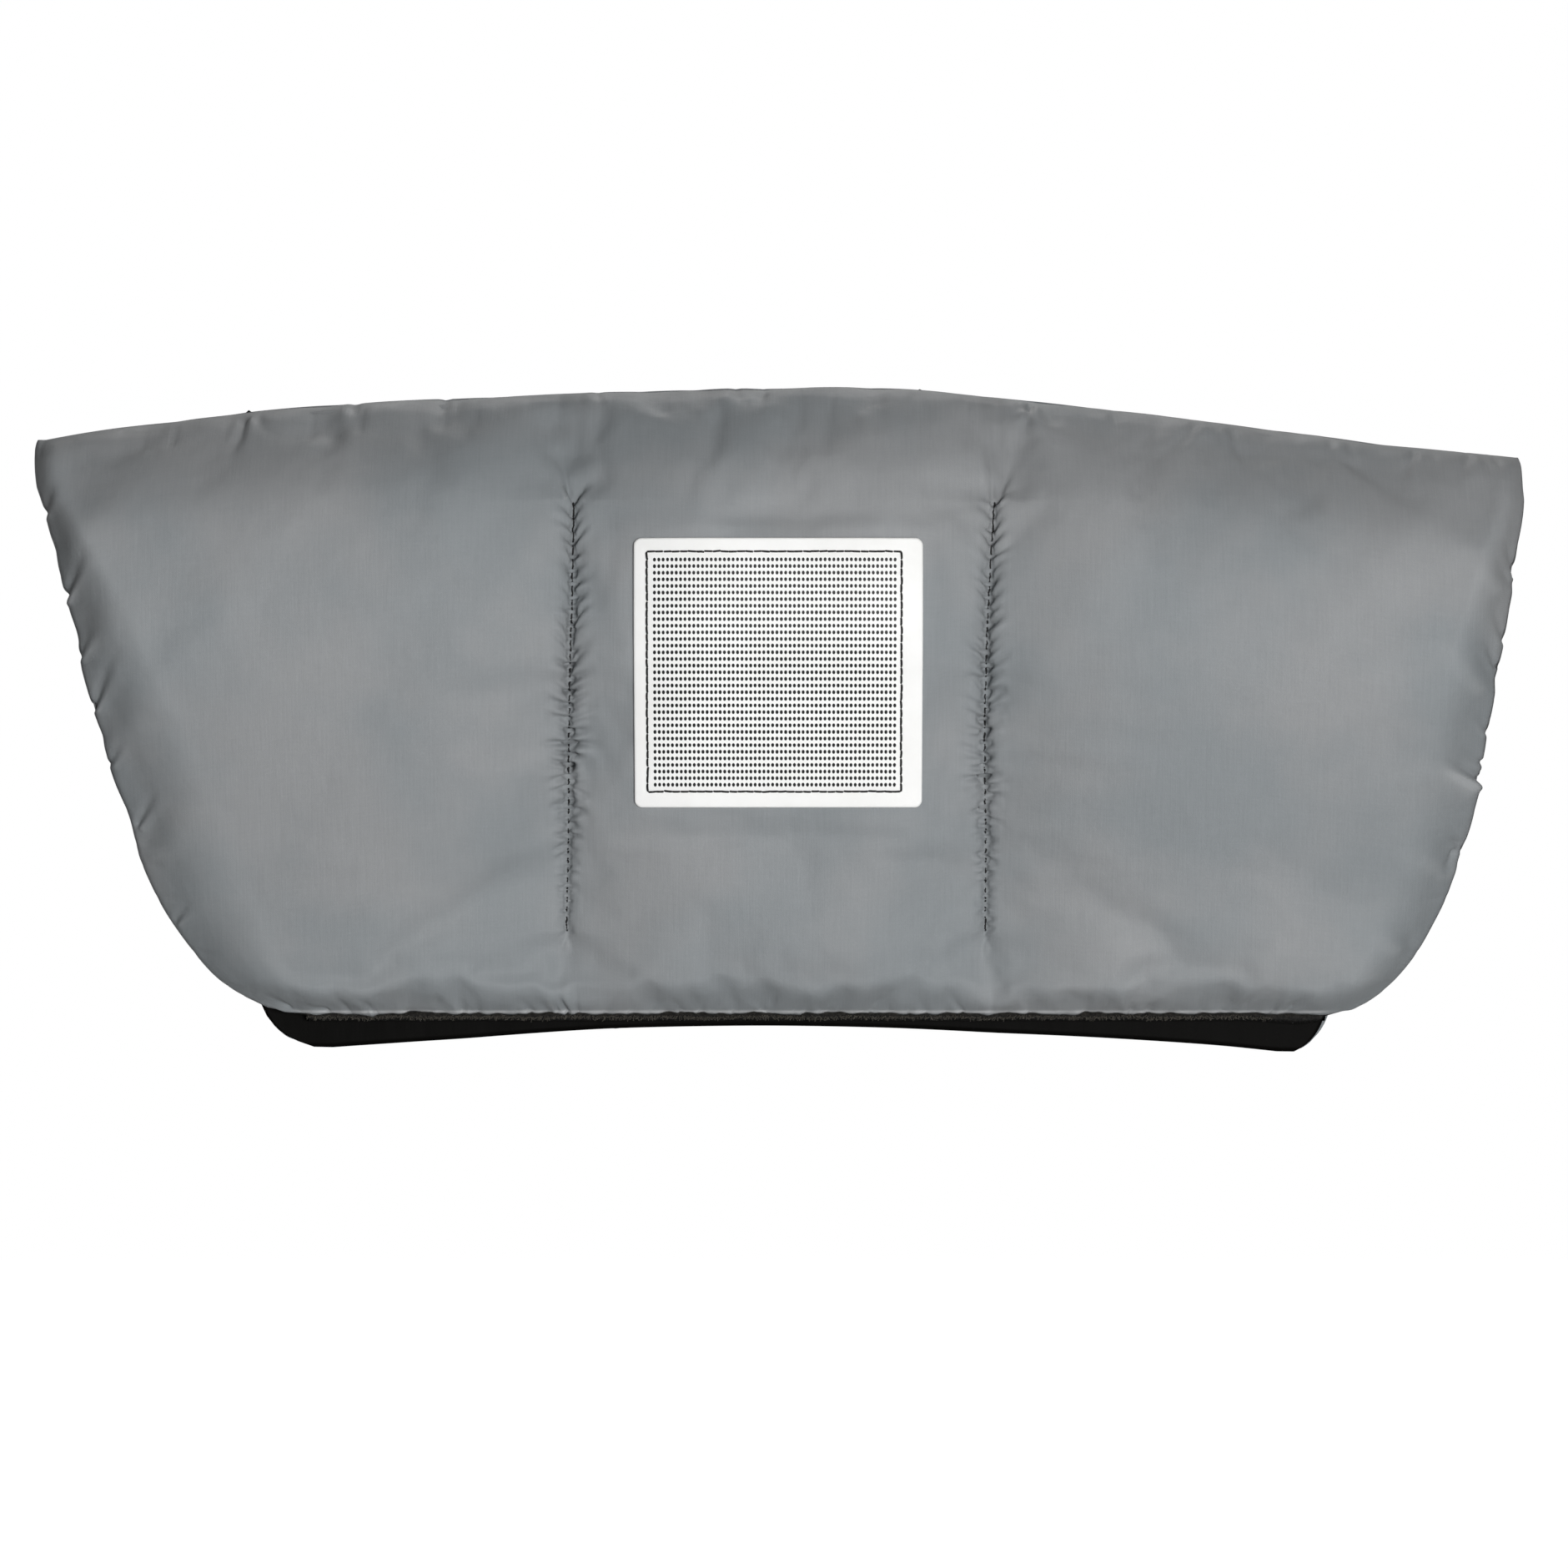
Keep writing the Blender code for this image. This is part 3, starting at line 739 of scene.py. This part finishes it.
def ramp(tree, value, low, high, to_low=0.0, to_high=1.0, smooth=False):
    made = node(tree, "MapRange", interpolation_type="SMOOTHSTEP" if smooth else "LINEAR")
    return fed(tree, made, value, low, high, to_low, to_high)


def bump(tree, height, distance, strength=1.0, under=None):
    made = node(tree, "Bump")
    connect(tree, made, Height=height, Distance=distance, Strength=strength)
    if under is not None:
        connect(tree, made, Normal=under)
    return made.outputs["Normal"]


def weave_group():
    """Plain weave: threads over and under each other, and a tone that varies from thread to thread."""
    group = bpy.data.node_groups.new("plain_weave", "ShaderNodeTree")
    group.interface.new_socket("Vector", in_out="INPUT", socket_type="NodeSocketVector")
    for name in ("Height", "Tone"):
        group.interface.new_socket(name, in_out="OUTPUT", socket_type="NodeSocketFloat")
    vector = group.nodes.new("NodeGroupInput").outputs["Vector"]
    sink = group.nodes.new("NodeGroupOutput")
    across, up, _ = parted(group, scaled(group, vector, (12500, 12500, 1)))
    over = times(group, calc(group, "SINE", across), calc(group, "SINE", up))
    slub = speckle(group, vector, (1500, 55, 1), 3.0, 0.6)
    cross = speckle(group, vector, (90, 1300, 1), 2.0, 0.6)
    grain = speckle(group, vector, (2100, 2100, 1), 2.0, 0.7)
    height = calc(group, "MULTIPLY_ADD", over, 0.2, slub)
    tone = calc(group, "MULTIPLY_ADD", slub, 0.22, times(group, cross, 0.10))
    tone = calc(group, "MULTIPLY_ADD", grain, 0.20, tone)
    connect(
        group, sink, Height=calc(group, "ADD", height, times(group, grain, 0.6)),
        Tone=ramp(group, tone, 0.12, 0.40, 0.90, 1.10),
    )
    return group


def woven(tree, weave):
    made = node(tree, "Group", node_tree=weave)
    connect(tree, made, Vector=node(tree, "UVMap", uv_map="cloth").outputs["UV"])
    return made.outputs["Height"], made.outputs["Tone"]


def toned(tree, colour, tone):
    made = node(tree, "VectorMath", operation="SCALE")
    connect(tree, made, Scale=tone)
    return fed(tree, made, colour)


def make_grey_nylon(weave, dark, light, highlight_colour):
    """Grey nylon: a dense weave with a soft sheen, in cloudy greys, with a painted highlight on its folded
    lower edge and on crease ridges.
    """
    made, tree, shader, place = material("grey_nylon")
    height, tone = woven(tree, weave)
    clouds = ramp(tree, speckle(tree, place, (13, 13, 15), 3.0), 0.36, 0.64, smooth=True)
    # Painted highlight: the attribute mixes in a pale colour along the shell's folded lower edge and on crease
    # ridges
    painted_highlight = node(tree, "Attribute", attribute_name="painted_highlight").outputs["Fac"]
    folds = bump(tree, speckle(tree, place, (95, 95, 70), 3.0, 0.45), 0.0009, 0.5)
    connect(
        tree, shader, Base_Color=mixed(tree, painted_highlight, toned(tree, mixed(tree, clouds, dark, light), tone), highlight_colour),
        Roughness=ramp(tree, speckle(tree, place, 60), 0.3, 0.7, 0.50, 0.60),
        Normal=bump(tree, height, 0.00012, 0.55, folds),
        Specular_IOR_Level=0.18, Sheen_Weight=0.05, Sheen_Roughness=0.35,
    )
    return made


def make_black_fleece():
    """Black fleece: short tufts that catch a little brown-grey light at their tips."""
    made, tree, shader, place = material("black_fleece")
    tufts = speckle(tree, place, 900, 4.0, 0.7)
    lumps = bump(tree, speckle(tree, place, 130, 3.0, 0.6), 0.0016, 0.6)
    colour = mixed(tree, ramp(tree, tufts, 0.40, 0.75), (0.0055, 0.0052, 0.0046), (0.036, 0.0325, 0.028))
    connect(
        tree, shader, Base_Color=colour,
        Normal=bump(tree, tufts, 0.0009, 0.9, lumps), Roughness=ramp(tree, tufts, 0.2, 0.8, 1.0, 0.85),
        Specular_IOR_Level=0.06, Sheen_Weight=0.05, Sheen_Roughness=0.6,
    )
    return made


def make_black_lining(weave):
    """Smooth black cloth, with a fine weave and shallow upright wrinkles."""
    made, tree, shader, place = material("smooth_black_lining")
    height, tone = woven(tree, weave)
    base = mixed(tree, speckle(tree, place, 30), (0.0022, 0.0021, 0.0019), (0.0037, 0.0035, 0.0031))
    wrinkles = bump(tree, speckle(tree, place, (70, 70, 22), 3.0, 0.5), 0.0014, 0.6)
    connect(
        tree, shader, Base_Color=toned(tree, base, tone), Normal=bump(tree, height, 0.0001, 0.4, wrinkles),
        Roughness=ramp(tree, tone, 0.9, 1.1, 0.55, 0.62), Specular_IOR_Level=0.035,
    )
    return made


def make_thread(name, colour):
    """Twisted thread: fine ridges across it, at a slant."""
    made, tree, shader, place = material(name)
    x, y, z = parted(tree, scaled(tree, place, 7000))
    twist = calc(tree, "SINE", calc(tree, "ADD", calc(tree, "ADD", x, z), y))
    fibres = speckle(tree, place, 2500, 3.0, 0.7)
    paler = tuple(min(1.0, 2.2 * part + 0.006) for part in colour)
    connect(
        tree, shader, Base_Color=mixed(tree, ramp(tree, fibres, 0.45, 0.8), colour, paler),
        Normal=bump(tree, twist, 0.00008, 0.8), Roughness=ramp(tree, fibres, 0.3, 0.7, 0.65, 0.85),
        Specular_IOR_Level=0.3,
    )
    return made


# Dots of the patch: their first column and row, their pitches and counts, and their radius
dot_first = (-0.04195, -0.08005)
dot_pitch = (0.001447, 0.002190)
dot_count = (56, 35)
dot_radius = 0.00050
dot_stretch = 1.28


def dot_axis(tree, value, axis):
    """How far a place is from the nearest column or row of dots, and whether that one is in the field."""
    steps = calc(tree, "DIVIDE", calc(tree, "SUBTRACT", value, dot_first[axis]), dot_pitch[axis])
    nearest = calc(tree, "ROUND", steps)
    away = times(tree, calc(tree, "SUBTRACT", steps, nearest), dot_pitch[axis])
    after = calc(tree, "GREATER_THAN", nearest, -0.5)
    return away, times(tree, after, calc(tree, "LESS_THAN", nearest, dot_count[axis] - 0.5))


def make_white_rubber():
    """White rubber with rows of black dots, a little taller than wide, sunk a little into it."""
    made, tree, shader, place = material("white_rubber")
    x, _, z = parted(tree, place)
    across, in_columns = dot_axis(tree, x, 0)
    up, in_rows = dot_axis(tree, z, 1)
    up = calc(tree, "DIVIDE", up, dot_stretch)
    square = calc(tree, "MULTIPLY_ADD", up, up, times(tree, across, across))
    uneven = times(tree, speckle(tree, place, 700), 0.00016)
    away = calc(tree, "ADD", calc(tree, "SQRT", square), uneven)
    dot = ramp(tree, away, dot_radius + 0.00002, dot_radius + 0.00014, 1.0, 0.0, smooth=True)
    dot = times(tree, times(tree, dot, in_columns), in_rows)
    stain = speckle(tree, place, 45, 4.0, 0.6)
    white = mixed(tree, ramp(tree, stain, 0.35, 0.7), (0.955, 0.955, 0.945), (0.90, 0.90, 0.88))
    grain = speckle(tree, place, 1600, 3.0, 0.6)
    connect(
        tree, shader, Base_Color=mixed(tree, dot, white, (0.005, 0.005, 0.005)),
        Normal=bump(tree, dot, 0.00016, -0.6, bump(tree, grain, 0.00008, 0.5)),
        Roughness=ramp(tree, grain, 0.3, 0.7, 0.48, 0.62), Specular_IOR_Level=0.35,
    )
    return made


def make_nickel():
    made, tree, shader, place = material("nickel")
    tarnish = speckle(tree, place, 260, 4.0, 0.6)
    scratches = speckle(tree, place, (3000, 400, 900), 3.0, 0.6)
    colour = mixed(tree, ramp(tree, tarnish, 0.4, 0.75), (0.66, 0.64, 0.60), (0.48, 0.46, 0.42))
    connect(
        tree, shader, Base_Color=colour, Roughness=ramp(tree, tarnish, 0.3, 0.7, 0.22, 0.40),
        Normal=bump(tree, scratches, 0.00003, 0.5), Metallic=1.0,
    )
    return made


weave = weave_group()
# The last colour is the painted highlight on the folded lower edge and on crease ridges
grey_nylon = make_grey_nylon(weave, (0.240, 0.259, 0.270), (0.284, 0.292, 0.299), (0.70, 0.71, 0.72))
black_fleece = make_black_fleece()
smooth_black_lining = make_black_lining(weave)
black_thread = make_thread("black_thread", (0.010, 0.010, 0.010))
grey_thread = make_thread("grey_thread", (0.12, 0.125, 0.13))
fleece_tips = make_thread("fleece_tips", (0.060, 0.055, 0.046))
white_rubber = make_white_rubber()
nickel = make_nickel()


# Panels

scallop = 0.00035
rear_peek = 0.0005
crest_share = 0.55
crest_run = 0.0030
# Painted highlight: its band above the shell's lower edge, and the crease height at which ridges get their
# full share
highlight_height = 0.0007
highlight_width = 0.0005
ridge_highlight_height = 0.0005
column_step = 0.0012
back_reach = 0.985
back_bend = 0.78
back_columns = np.linspace(-back_reach, back_reach, 61)
lining_drop = 0.0019
lining_settle = 0.020
# Places where the rear lining rises above the top edge: x, width and height. The first and last are real peeks
# of lining. The middle one is black lining raised where the rear shell lies in shade, a dark sheet standing in
# for shade.
lining_peeks_and_shade = ((-0.1805, 0.0020, 0.0025), (-0.0125, 0.0085, 0.0023), (0.0470, 0.0028, 0.0023))


def shell_places(panel, us, vs):
    x, z = spots(panel, us, vs)
    places = np.dstack([x, panel.facing * outer_depth(panel, x, z), z])
    places += padding(panel, us, vs)
    to_top, to_side, to_low = edge_distances(panel, x, z)
    places[..., 2] += scallop * wave(x, 0.0095, 3 + panel.facing) * bell(to_low, 0.003)
    if panel is rear:
        places[..., 2] += rear_peek * bell(x + 0.0145, 0.013) * bell(to_top, 0.004)
    lift = seam_creases(panel, x, z) + hem_creases(panel, x, z) + edge_lift(panel, x, z) + slow_lift(x, z)
    lift += listed_creases(x, z, top_creases) + own_creases(panel, x, z)
    lift *= ease(to_top / crest_run)
    places[..., 2] += crest_share * listed_creases(x, top_edge(x), top_creases) * bell(to_top, crest_run)
    if panel is front:
        lift *= 1 - over_patch(x, z, 0.003)
    lift *= ease(np.hypot(to_side, to_low) / 0.008)
    return places + lift[..., None] * normals_of(places, panel.facing)


def mark_painted_highlight(piece, panel):
    """An attribute of painted highlight: 1 on the thin folded rim along the shell's lower edge, and lower on
    the ridges of creases.
    """
    x, _, z = points_of(piece.data).T
    _, to_side, to_low = edge_distances(panel, x, z)
    painted_highlight = bell(to_low - highlight_height, highlight_width) * (0.8 + 0.3 * wave(x, 0.011, 6)) * ease(to_side / 0.012)
    painted_highlight = np.maximum(painted_highlight, 0.22 * np.clip(own_creases(panel, x, z) / ridge_highlight_height, 0, 1) ** 2)
    piece.data.attributes.new("painted_highlight", "FLOAT", "POINT").data.foreach_set("value", painted_highlight.astype(np.float32))


def back_rows(low):
    """Row shares of a plain back, close together where it bends at the top."""
    return np.concatenate([np.linspace(low, back_bend, 16), np.linspace(back_bend, back_reach, 30)[1:]])


def make_shell(panel, seam_step, row_step):
    """The padded shell: the nylon's outer face, closed by a plain back behind the lining."""
    us = column_shares(column_step, seam_step, 0.0009)
    places = shell_places(panel, us, row_shares(row_step, seam_step * 1.15, 0.0004))
    x, z = spots(panel, back_columns, back_rows(0.02))
    back = np.dstack([x, panel.facing * (hollow(x, z) + panel.lining + cap_pocket), z])
    made = closed_body(panel.name + "_shell_pad", places, back, grey_nylon)
    mark_painted_highlight(made, panel)
    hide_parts(panel.name + "_shell", panel.name + "_wadding")
    bend(made)
    return made


def lining_spots(panel, us, vs, overhang):
    """The lining's column and row places, and its height, a little lower than the shell's at the top seam."""
    x, z = spots(panel, us, vs, overhang)
    return x, z, z - lining_drop * (1 - ease((top_edge(x) - z) / lining_settle))


def make_lining(panel, finish, overhang):
    """The lining's inner face, with the slack of cloth that hangs from its sewn edges."""
    vs = np.concatenate([np.linspace(0, 0.93, 112), np.linspace(0.93, 1, 30)[1:]])
    x, z, height = lining_spots(panel, np.linspace(-0.996, 0.996, 201), vs, overhang)
    to_top, to_side, to_low = edge_distances(panel, x, z)
    nearest = np.minimum(np.minimum(to_top, to_side), to_low + overhang)
    slack = 0.0010 * wave(x + 0.3 * z, 0.043, 3) * wave(z, 0.12, 1) + 0.0005 * wave(x - 0.2 * z, 0.017, 5)
    depth = hollow(x, z) + slack * (ease(nearest / 0.02) * ease((z + 0.115) / 0.03))
    slipped = 0.0010 * ease((x - 0.160) / 0.015) * ease(to_side / 0.008)
    slipped = slipped * (1 - ease((z + 0.150) / 0.02)) * (panel is front)
    # The middle peek stands in for shade on the rear shell
    for place, width, peek in lining_peeks_and_shade:
        height = height + peek * bell(x - place, width) * bell(to_top, 0.003) * (panel is rear)
    face = np.dstack([x, panel.facing * depth, height - slipped])
    x, z, height = lining_spots(panel, back_columns, back_rows(0.012), overhang)
    back = np.dstack([x, panel.facing * (hollow(x, z) + panel.lining), height])
    made = closed_body(panel.name + "_lining_cloth", face, back, finish)
    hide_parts(panel.name + "_lining")
    bend(made)


front_shell = make_shell(front, 0.00055, 0.00125)
rear_shell = make_shell(rear, 0.0009, 0.0016)
make_lining(front, black_fleece, fleece_overhang)
make_lining(rear, smooth_black_lining, 0.0007)


# Threads

quilt_thread_radius = 0.00032
edge_thread_radius = 0.0003
edge_thread_reach = 0.9955
patch_thread_radius = 0.00036
fibre_radius = 0.00012
fibre_count = 1500


def threads(name, replaced, runs, radius, finish, fine=1):
    """Round threads along runs of points, made one mesh."""
    curve = bpy.data.curves.new(name, "CURVE")
    set_all(curve, dimensions="3D", bevel_depth=radius, bevel_resolution=fine, use_fill_caps=True)
    for run in runs:
        line = curve.splines.new("POLY")
        line.points.add(len(run) - 1)
        for corner, point in zip(line.points, run):
            corner.co = (*point, 1)
    drawn = new_object(name, curve)
    mesh = bpy.data.meshes.new_from_object(drawn.evaluated_get(bpy.context.evaluated_depsgraph_get()))
    bpy.data.objects.remove(drawn)
    made = new_object(name, mesh)
    mesh.materials.clear()
    mesh.materials.append(finish)
    if replaced:
        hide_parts(replaced)
    return made


def on_face(tree, x, z, facing):
    """The place on a shell's face at this x and z, and the way out of it."""
    place, normal, _, _ = tree.ray_cast(Vector((x, facing, z)), Vector((0, -facing, 0)))
    return place, normal if normal.y * facing > 0 else -normal


def stitch(tree, start, end, facing, radius):
    """Six points of a stitch that comes up through the cloth, lies on it and goes down again."""
    run = []
    for share, height in ((0, -1.2), (0.1, 0.3), (0.3, 0.9), (0.7, 0.9), (0.9, 0.3), (1, -1.2)):
        x, z = start[0] + (end[0] - start[0]) * share, start[1] + (end[1] - start[1]) * share
        place, normal = on_face(tree, x, z, facing)
        run.append(place + normal * radius * height)
    return run


def face_tree(piece):
    mesh = piece.data
    return BVHTree.FromPolygons([v.co for v in mesh.vertices], [face.vertices for face in mesh.polygons])


def quilt_stitches(panel, shell, sign, label):
    """Short stitches down a quilting seam, with a back tack at each end."""
    tree = face_tree(shell)
    random = np.random.default_rng(11 + sign)
    spans = []
    for height in stitch_heights():
        length = random.uniform(0.0013, 0.0018) + 0.0018 * float(ease((height + 0.09) / 0.05))
        spans.append((height - 0.0004, height - 0.0004 - length))
    spans += [(seam_top - 0.0026 * step, seam_top - 0.0026 * step - 0.0024) for step in range(4)]
    spans += [(seam_bottom + 0.0045, seam_bottom + 0.0012)]
    runs = []
    for span in spans:
        ends = [(seam_place(panel, sign, height) + random.uniform(-0.0001, 0.0001), height) for height in span]
        runs.append(stitch(tree, *ends, panel.facing, quilt_thread_radius))
    name, replaced = panel.name + "_quilt_stitches_" + label, panel.name + "_quilt_thread_" + label
    made = threads(name, replaced, runs, quilt_thread_radius, black_thread)
    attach(made, panel.name + "_panel")


def edge_seam(panel):
    """The thread between shell and lining: down one end, along the lower edge and up the other end."""
    ways = np.linspace(back_reach, 0.012, 60)
    shares = [(-edge_thread_reach, v) for v in ways] + [(u, 0.0085) for u in np.linspace(-0.98, 0.98, 90)]
    shares += [(edge_thread_reach, v) for v in ways[::-1]]
    run = []
    for u, v in shares:
        x, z = spots(panel, np.array([u]), np.array([v]))
        depth = hollow(x, z) + panel.lining + seam_pocket / 2
        run.append((x[0, 0], panel.facing * depth[0, 0], z[0, 0]))
    name, replaced = panel.name + "_edge_seam", panel.name + "_edge_thread"
    bend(threads(name, replaced, [run], edge_thread_radius, grey_thread))


def top_seam():
    xs = np.linspace(-half_width + 0.0015, half_width - 0.0015, 160)
    run = [(x, 0, z - 0.0012) for x, z in zip(xs, top_edge(xs))]
    name, replaced = "top_seam_stitches", "top_seam_thread"
    made = threads(name, replaced, [run], edge_thread_radius, grey_thread)
    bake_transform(made)


def fleece_fibres():
    """The fuzz along the fleece's cut lower edge: short bent fibres that point down and outwards."""
    random = np.random.default_rng(21)
    runs = []
    for x in np.linspace(-0.160, 0.166, fibre_count) + random.normal(0, 0.0002, fibre_count):
        tuft = 0.0007 * (0.5 + 0.5 * float(wave(x, 0.031, 3))) + random.uniform(0, 0.0006)
        low = low_edge(front, x) - fleece_overhang
        depth = float(hollow(x, np.array(front_low))) + front.lining
        run = [np.array([x, -depth * random.uniform(0.7, 1.0), low + 0.0009 + tuft])]
        way = np.array([random.normal(0, 0.6), -random.uniform(0.2, 1.0), -random.uniform(0.1, 1.1)])
        for _ in range(2):
            way /= np.linalg.norm(way)
            run.append(run[-1] + way * random.uniform(0.0005, 0.0009))
            way += random.normal(0, 0.45, 3)
        runs.append(run)
    made = threads("fleece_fibres", None, runs, fibre_radius, fleece_tips, fine=0)
    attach(made, "front_panel")


fleece_fibres()
for panel, shell in ((front, front_shell), (rear, rear_shell)):
    for sign, label in ((-1, "left"), (1, "right")):
        quilt_stitches(panel, shell, sign, label)
    edge_seam(panel)
top_seam()


# Patch

patch_cuts = 96
patch_stitch = 0.0027
patch_sunk = 0.00022


def stitch_line_distance(x, z):
    """How far a place is from the rectangle of stitches."""
    across = abs(x - stitch_line_middle[0]) - stitch_line_half[0]
    up = abs(z - stitch_line_middle[1]) - stitch_line_half[1]
    return math.hypot(across, up) if across > 0 and up > 0 else abs(max(across, up))


def rounded(shape, geometry, affect, offset, segments):
    bmesh.ops.bevel(
        shape, geom=geometry, affect=affect, offset=offset, segments=segments, profile=0.5, material=-1
    )


def make_patch():
    """A rubber plate with round corners and a soft rim, lying on the shell, drawn in by its stitches."""
    shape = bmesh.new()
    bmesh.ops.create_grid(shape, x_segments=1, y_segments=1, size=0.5)
    bmesh.ops.scale(shape, verts=shape.verts[:], vec=(*patch_size, 1))
    rounded(shape, shape.verts[:], "VERTICES", patch_corner, 7)
    raised = bmesh.ops.extrude_face_region(shape, geom=shape.faces[:])
    top = [item for item in raised["geom"] if isinstance(item, bmesh.types.BMVert)]
    bmesh.ops.translate(shape, verts=top, vec=(0, 0, patch_thickness))
    rim = [edge for edge in shape.edges if all(v.co.z > patch_thickness / 2 for v in edge.verts)]
    rounded(shape, rim, "EDGES", patch_thickness * 0.42, 4)
    for axis, size in enumerate(patch_size):
        for index in range(1, patch_cuts):
            place, normal = [0, 0, 0], [0, 0, 0]
            place[axis], normal[axis] = size * (index / patch_cuts - 0.5), 1
            geometry = shape.verts[:] + shape.edges[:] + shape.faces[:]
            bmesh.ops.bisect_plane(shape, geom=geometry, dist=1e-7, plane_co=place, plane_no=normal)
    for corner in shape.verts:
        x, z, raise_by = corner.co.x + patch_middle[0], corner.co.y + patch_middle[1], corner.co.z
        drawn_in = math.exp(-((stitch_line_distance(x, z) / 0.0007) ** 2)) * (raise_by > patch_thickness / 2)
        depth = float(outer_depth(front, np.array(x), np.array(z)) + patch_lift)
        corner.co = (x, -depth - raise_by + patch_sunk * drawn_in, z)
    bmesh.ops.recalc_face_normals(shape, faces=shape.faces[:])
    made = mesh_piece("patch_plate", shape, white_rubber)
    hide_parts("patch")
    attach(made, "front_panel")
    return made


def patch_stitches(plate):
    """Black stitches round the patch, a little uneven, and nearly end to end."""
    tree = face_tree(plate)
    random = np.random.default_rng(3)
    middle, half = stitch_line_middle, stitch_line_half
    corners = [(-half[0], -half[1]), (half[0], -half[1]), (half[0], half[1]), (-half[0], half[1])]
    runs = []
    for first, last in zip(corners, corners[1:] + corners[:1]):
        count = round(math.dist(first, last) / patch_stitch)
        for index in range(count):
            ends = []
            for share in ((index + 0.04) / count, (index + 0.97) / count):
                x = first[0] + (last[0] - first[0]) * share + middle[0] + random.normal(0, 0.00007)
                z = first[1] + (last[1] - first[1]) * share + middle[1] + random.normal(0, 0.00007)
                ends.append((x, z))
            runs.append(stitch(tree, *ends, -1, patch_thread_radius))
    made = threads("patch_stitches", "patch_thread", runs, patch_thread_radius, black_thread)
    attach(made, "front_panel")


patch_stitches(make_patch())


# Press studs

for label in ("left", "middle", "right"):
    for kind in ("stud_", "stud_cap_", "socket_", "socket_cap_"):
        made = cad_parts[kind + label]
        made.data.materials.clear()
        made.data.materials.append(nickel)


# Stage, light and camera

ambient = 0.045
floor_drop = 0.75
photo_middle = (0.0009, -0.0798)
outline_depth = 0.02


def seen_directly(tree, by_mirrors):
    """1 where the camera looks at the background, and a share of it where a mirror does."""
    path = node(tree, "LightPath").outputs
    seen = calc(tree, "MAXIMUM", path["Is Camera Ray"], path["Is Transmission Ray"])
    return calc(tree, "MAXIMUM", seen, times(tree, path["Is Glossy Ray"], by_mirrors))


def stage():
    shape = bmesh.new()
    bmesh.ops.create_grid(shape, x_segments=1, y_segments=1, size=7)
    bmesh.ops.translate(shape, verts=shape.verts[:], vec=(0, 0, -floor_drop))
    white, tree, shader, place = material("white_stage")
    away = node(tree, "VectorMath", operation="LENGTH")
    fill(tree, away.inputs[0], place)
    glow = ramp(tree, away.outputs["Value"], 0.9, 1.4, 0.68, 1.0, smooth=True)
    connect(
        tree, shader, Base_Color=(0.65, 0.65, 0.65, 1), Roughness=0.9, Emission_Color=(1, 1, 1, 1),
        Emission_Strength=times(tree, seen_directly(tree, 0.0), glow),
    )
    mesh_piece("floor", shape, white)
    world = bpy.data.worlds.new("studio")
    scene.world = world
    world.use_nodes = True
    tree = world.node_tree
    strength = ramp(tree, seen_directly(tree, 0.35), 0.0, 1.0, ambient, 1.0)
    connect(tree, tree.nodes["Background"], Color=(1, 1, 1, 1), Strength=strength)


def lamp(name, place, aim, size, power):
    made = new_object(name, set_all(bpy.data.lights.new(name, "AREA"), size=size, energy=power))
    made.location = place
    made.rotation_euler = (Vector(aim) - Vector(place)).to_track_quat("-Z", "Y").to_euler()


def camera(distance, span):
    """Looks level along +Y at the middle of the photograph, which is span wide at the muff's outline."""
    data = bpy.data.cameras.new("camera")
    data.lens = data.sensor_width * distance / span
    made = new_object("camera", data)
    made.location = (photo_middle[0], -distance - outline_depth, photo_middle[1])
    made.rotation_euler = (math.radians(90), 0, 0)
    bpy.context.scene.camera = made


bpy.context.scene.view_settings.view_transform = "Standard"
stage()
lamp("front_light", (0.75, -3.15, -0.10), (0, 0, -0.06), 0.75, 85)
lamp("top_light", (0.0, 1.2, 1.2), (0, 0, 0.02), 0.9, 8)
lamp("back_light", (-0.2, 3.1, -0.15), (0, 0, -0.06), 0.9, 38)
camera(2.2, 0.5264)
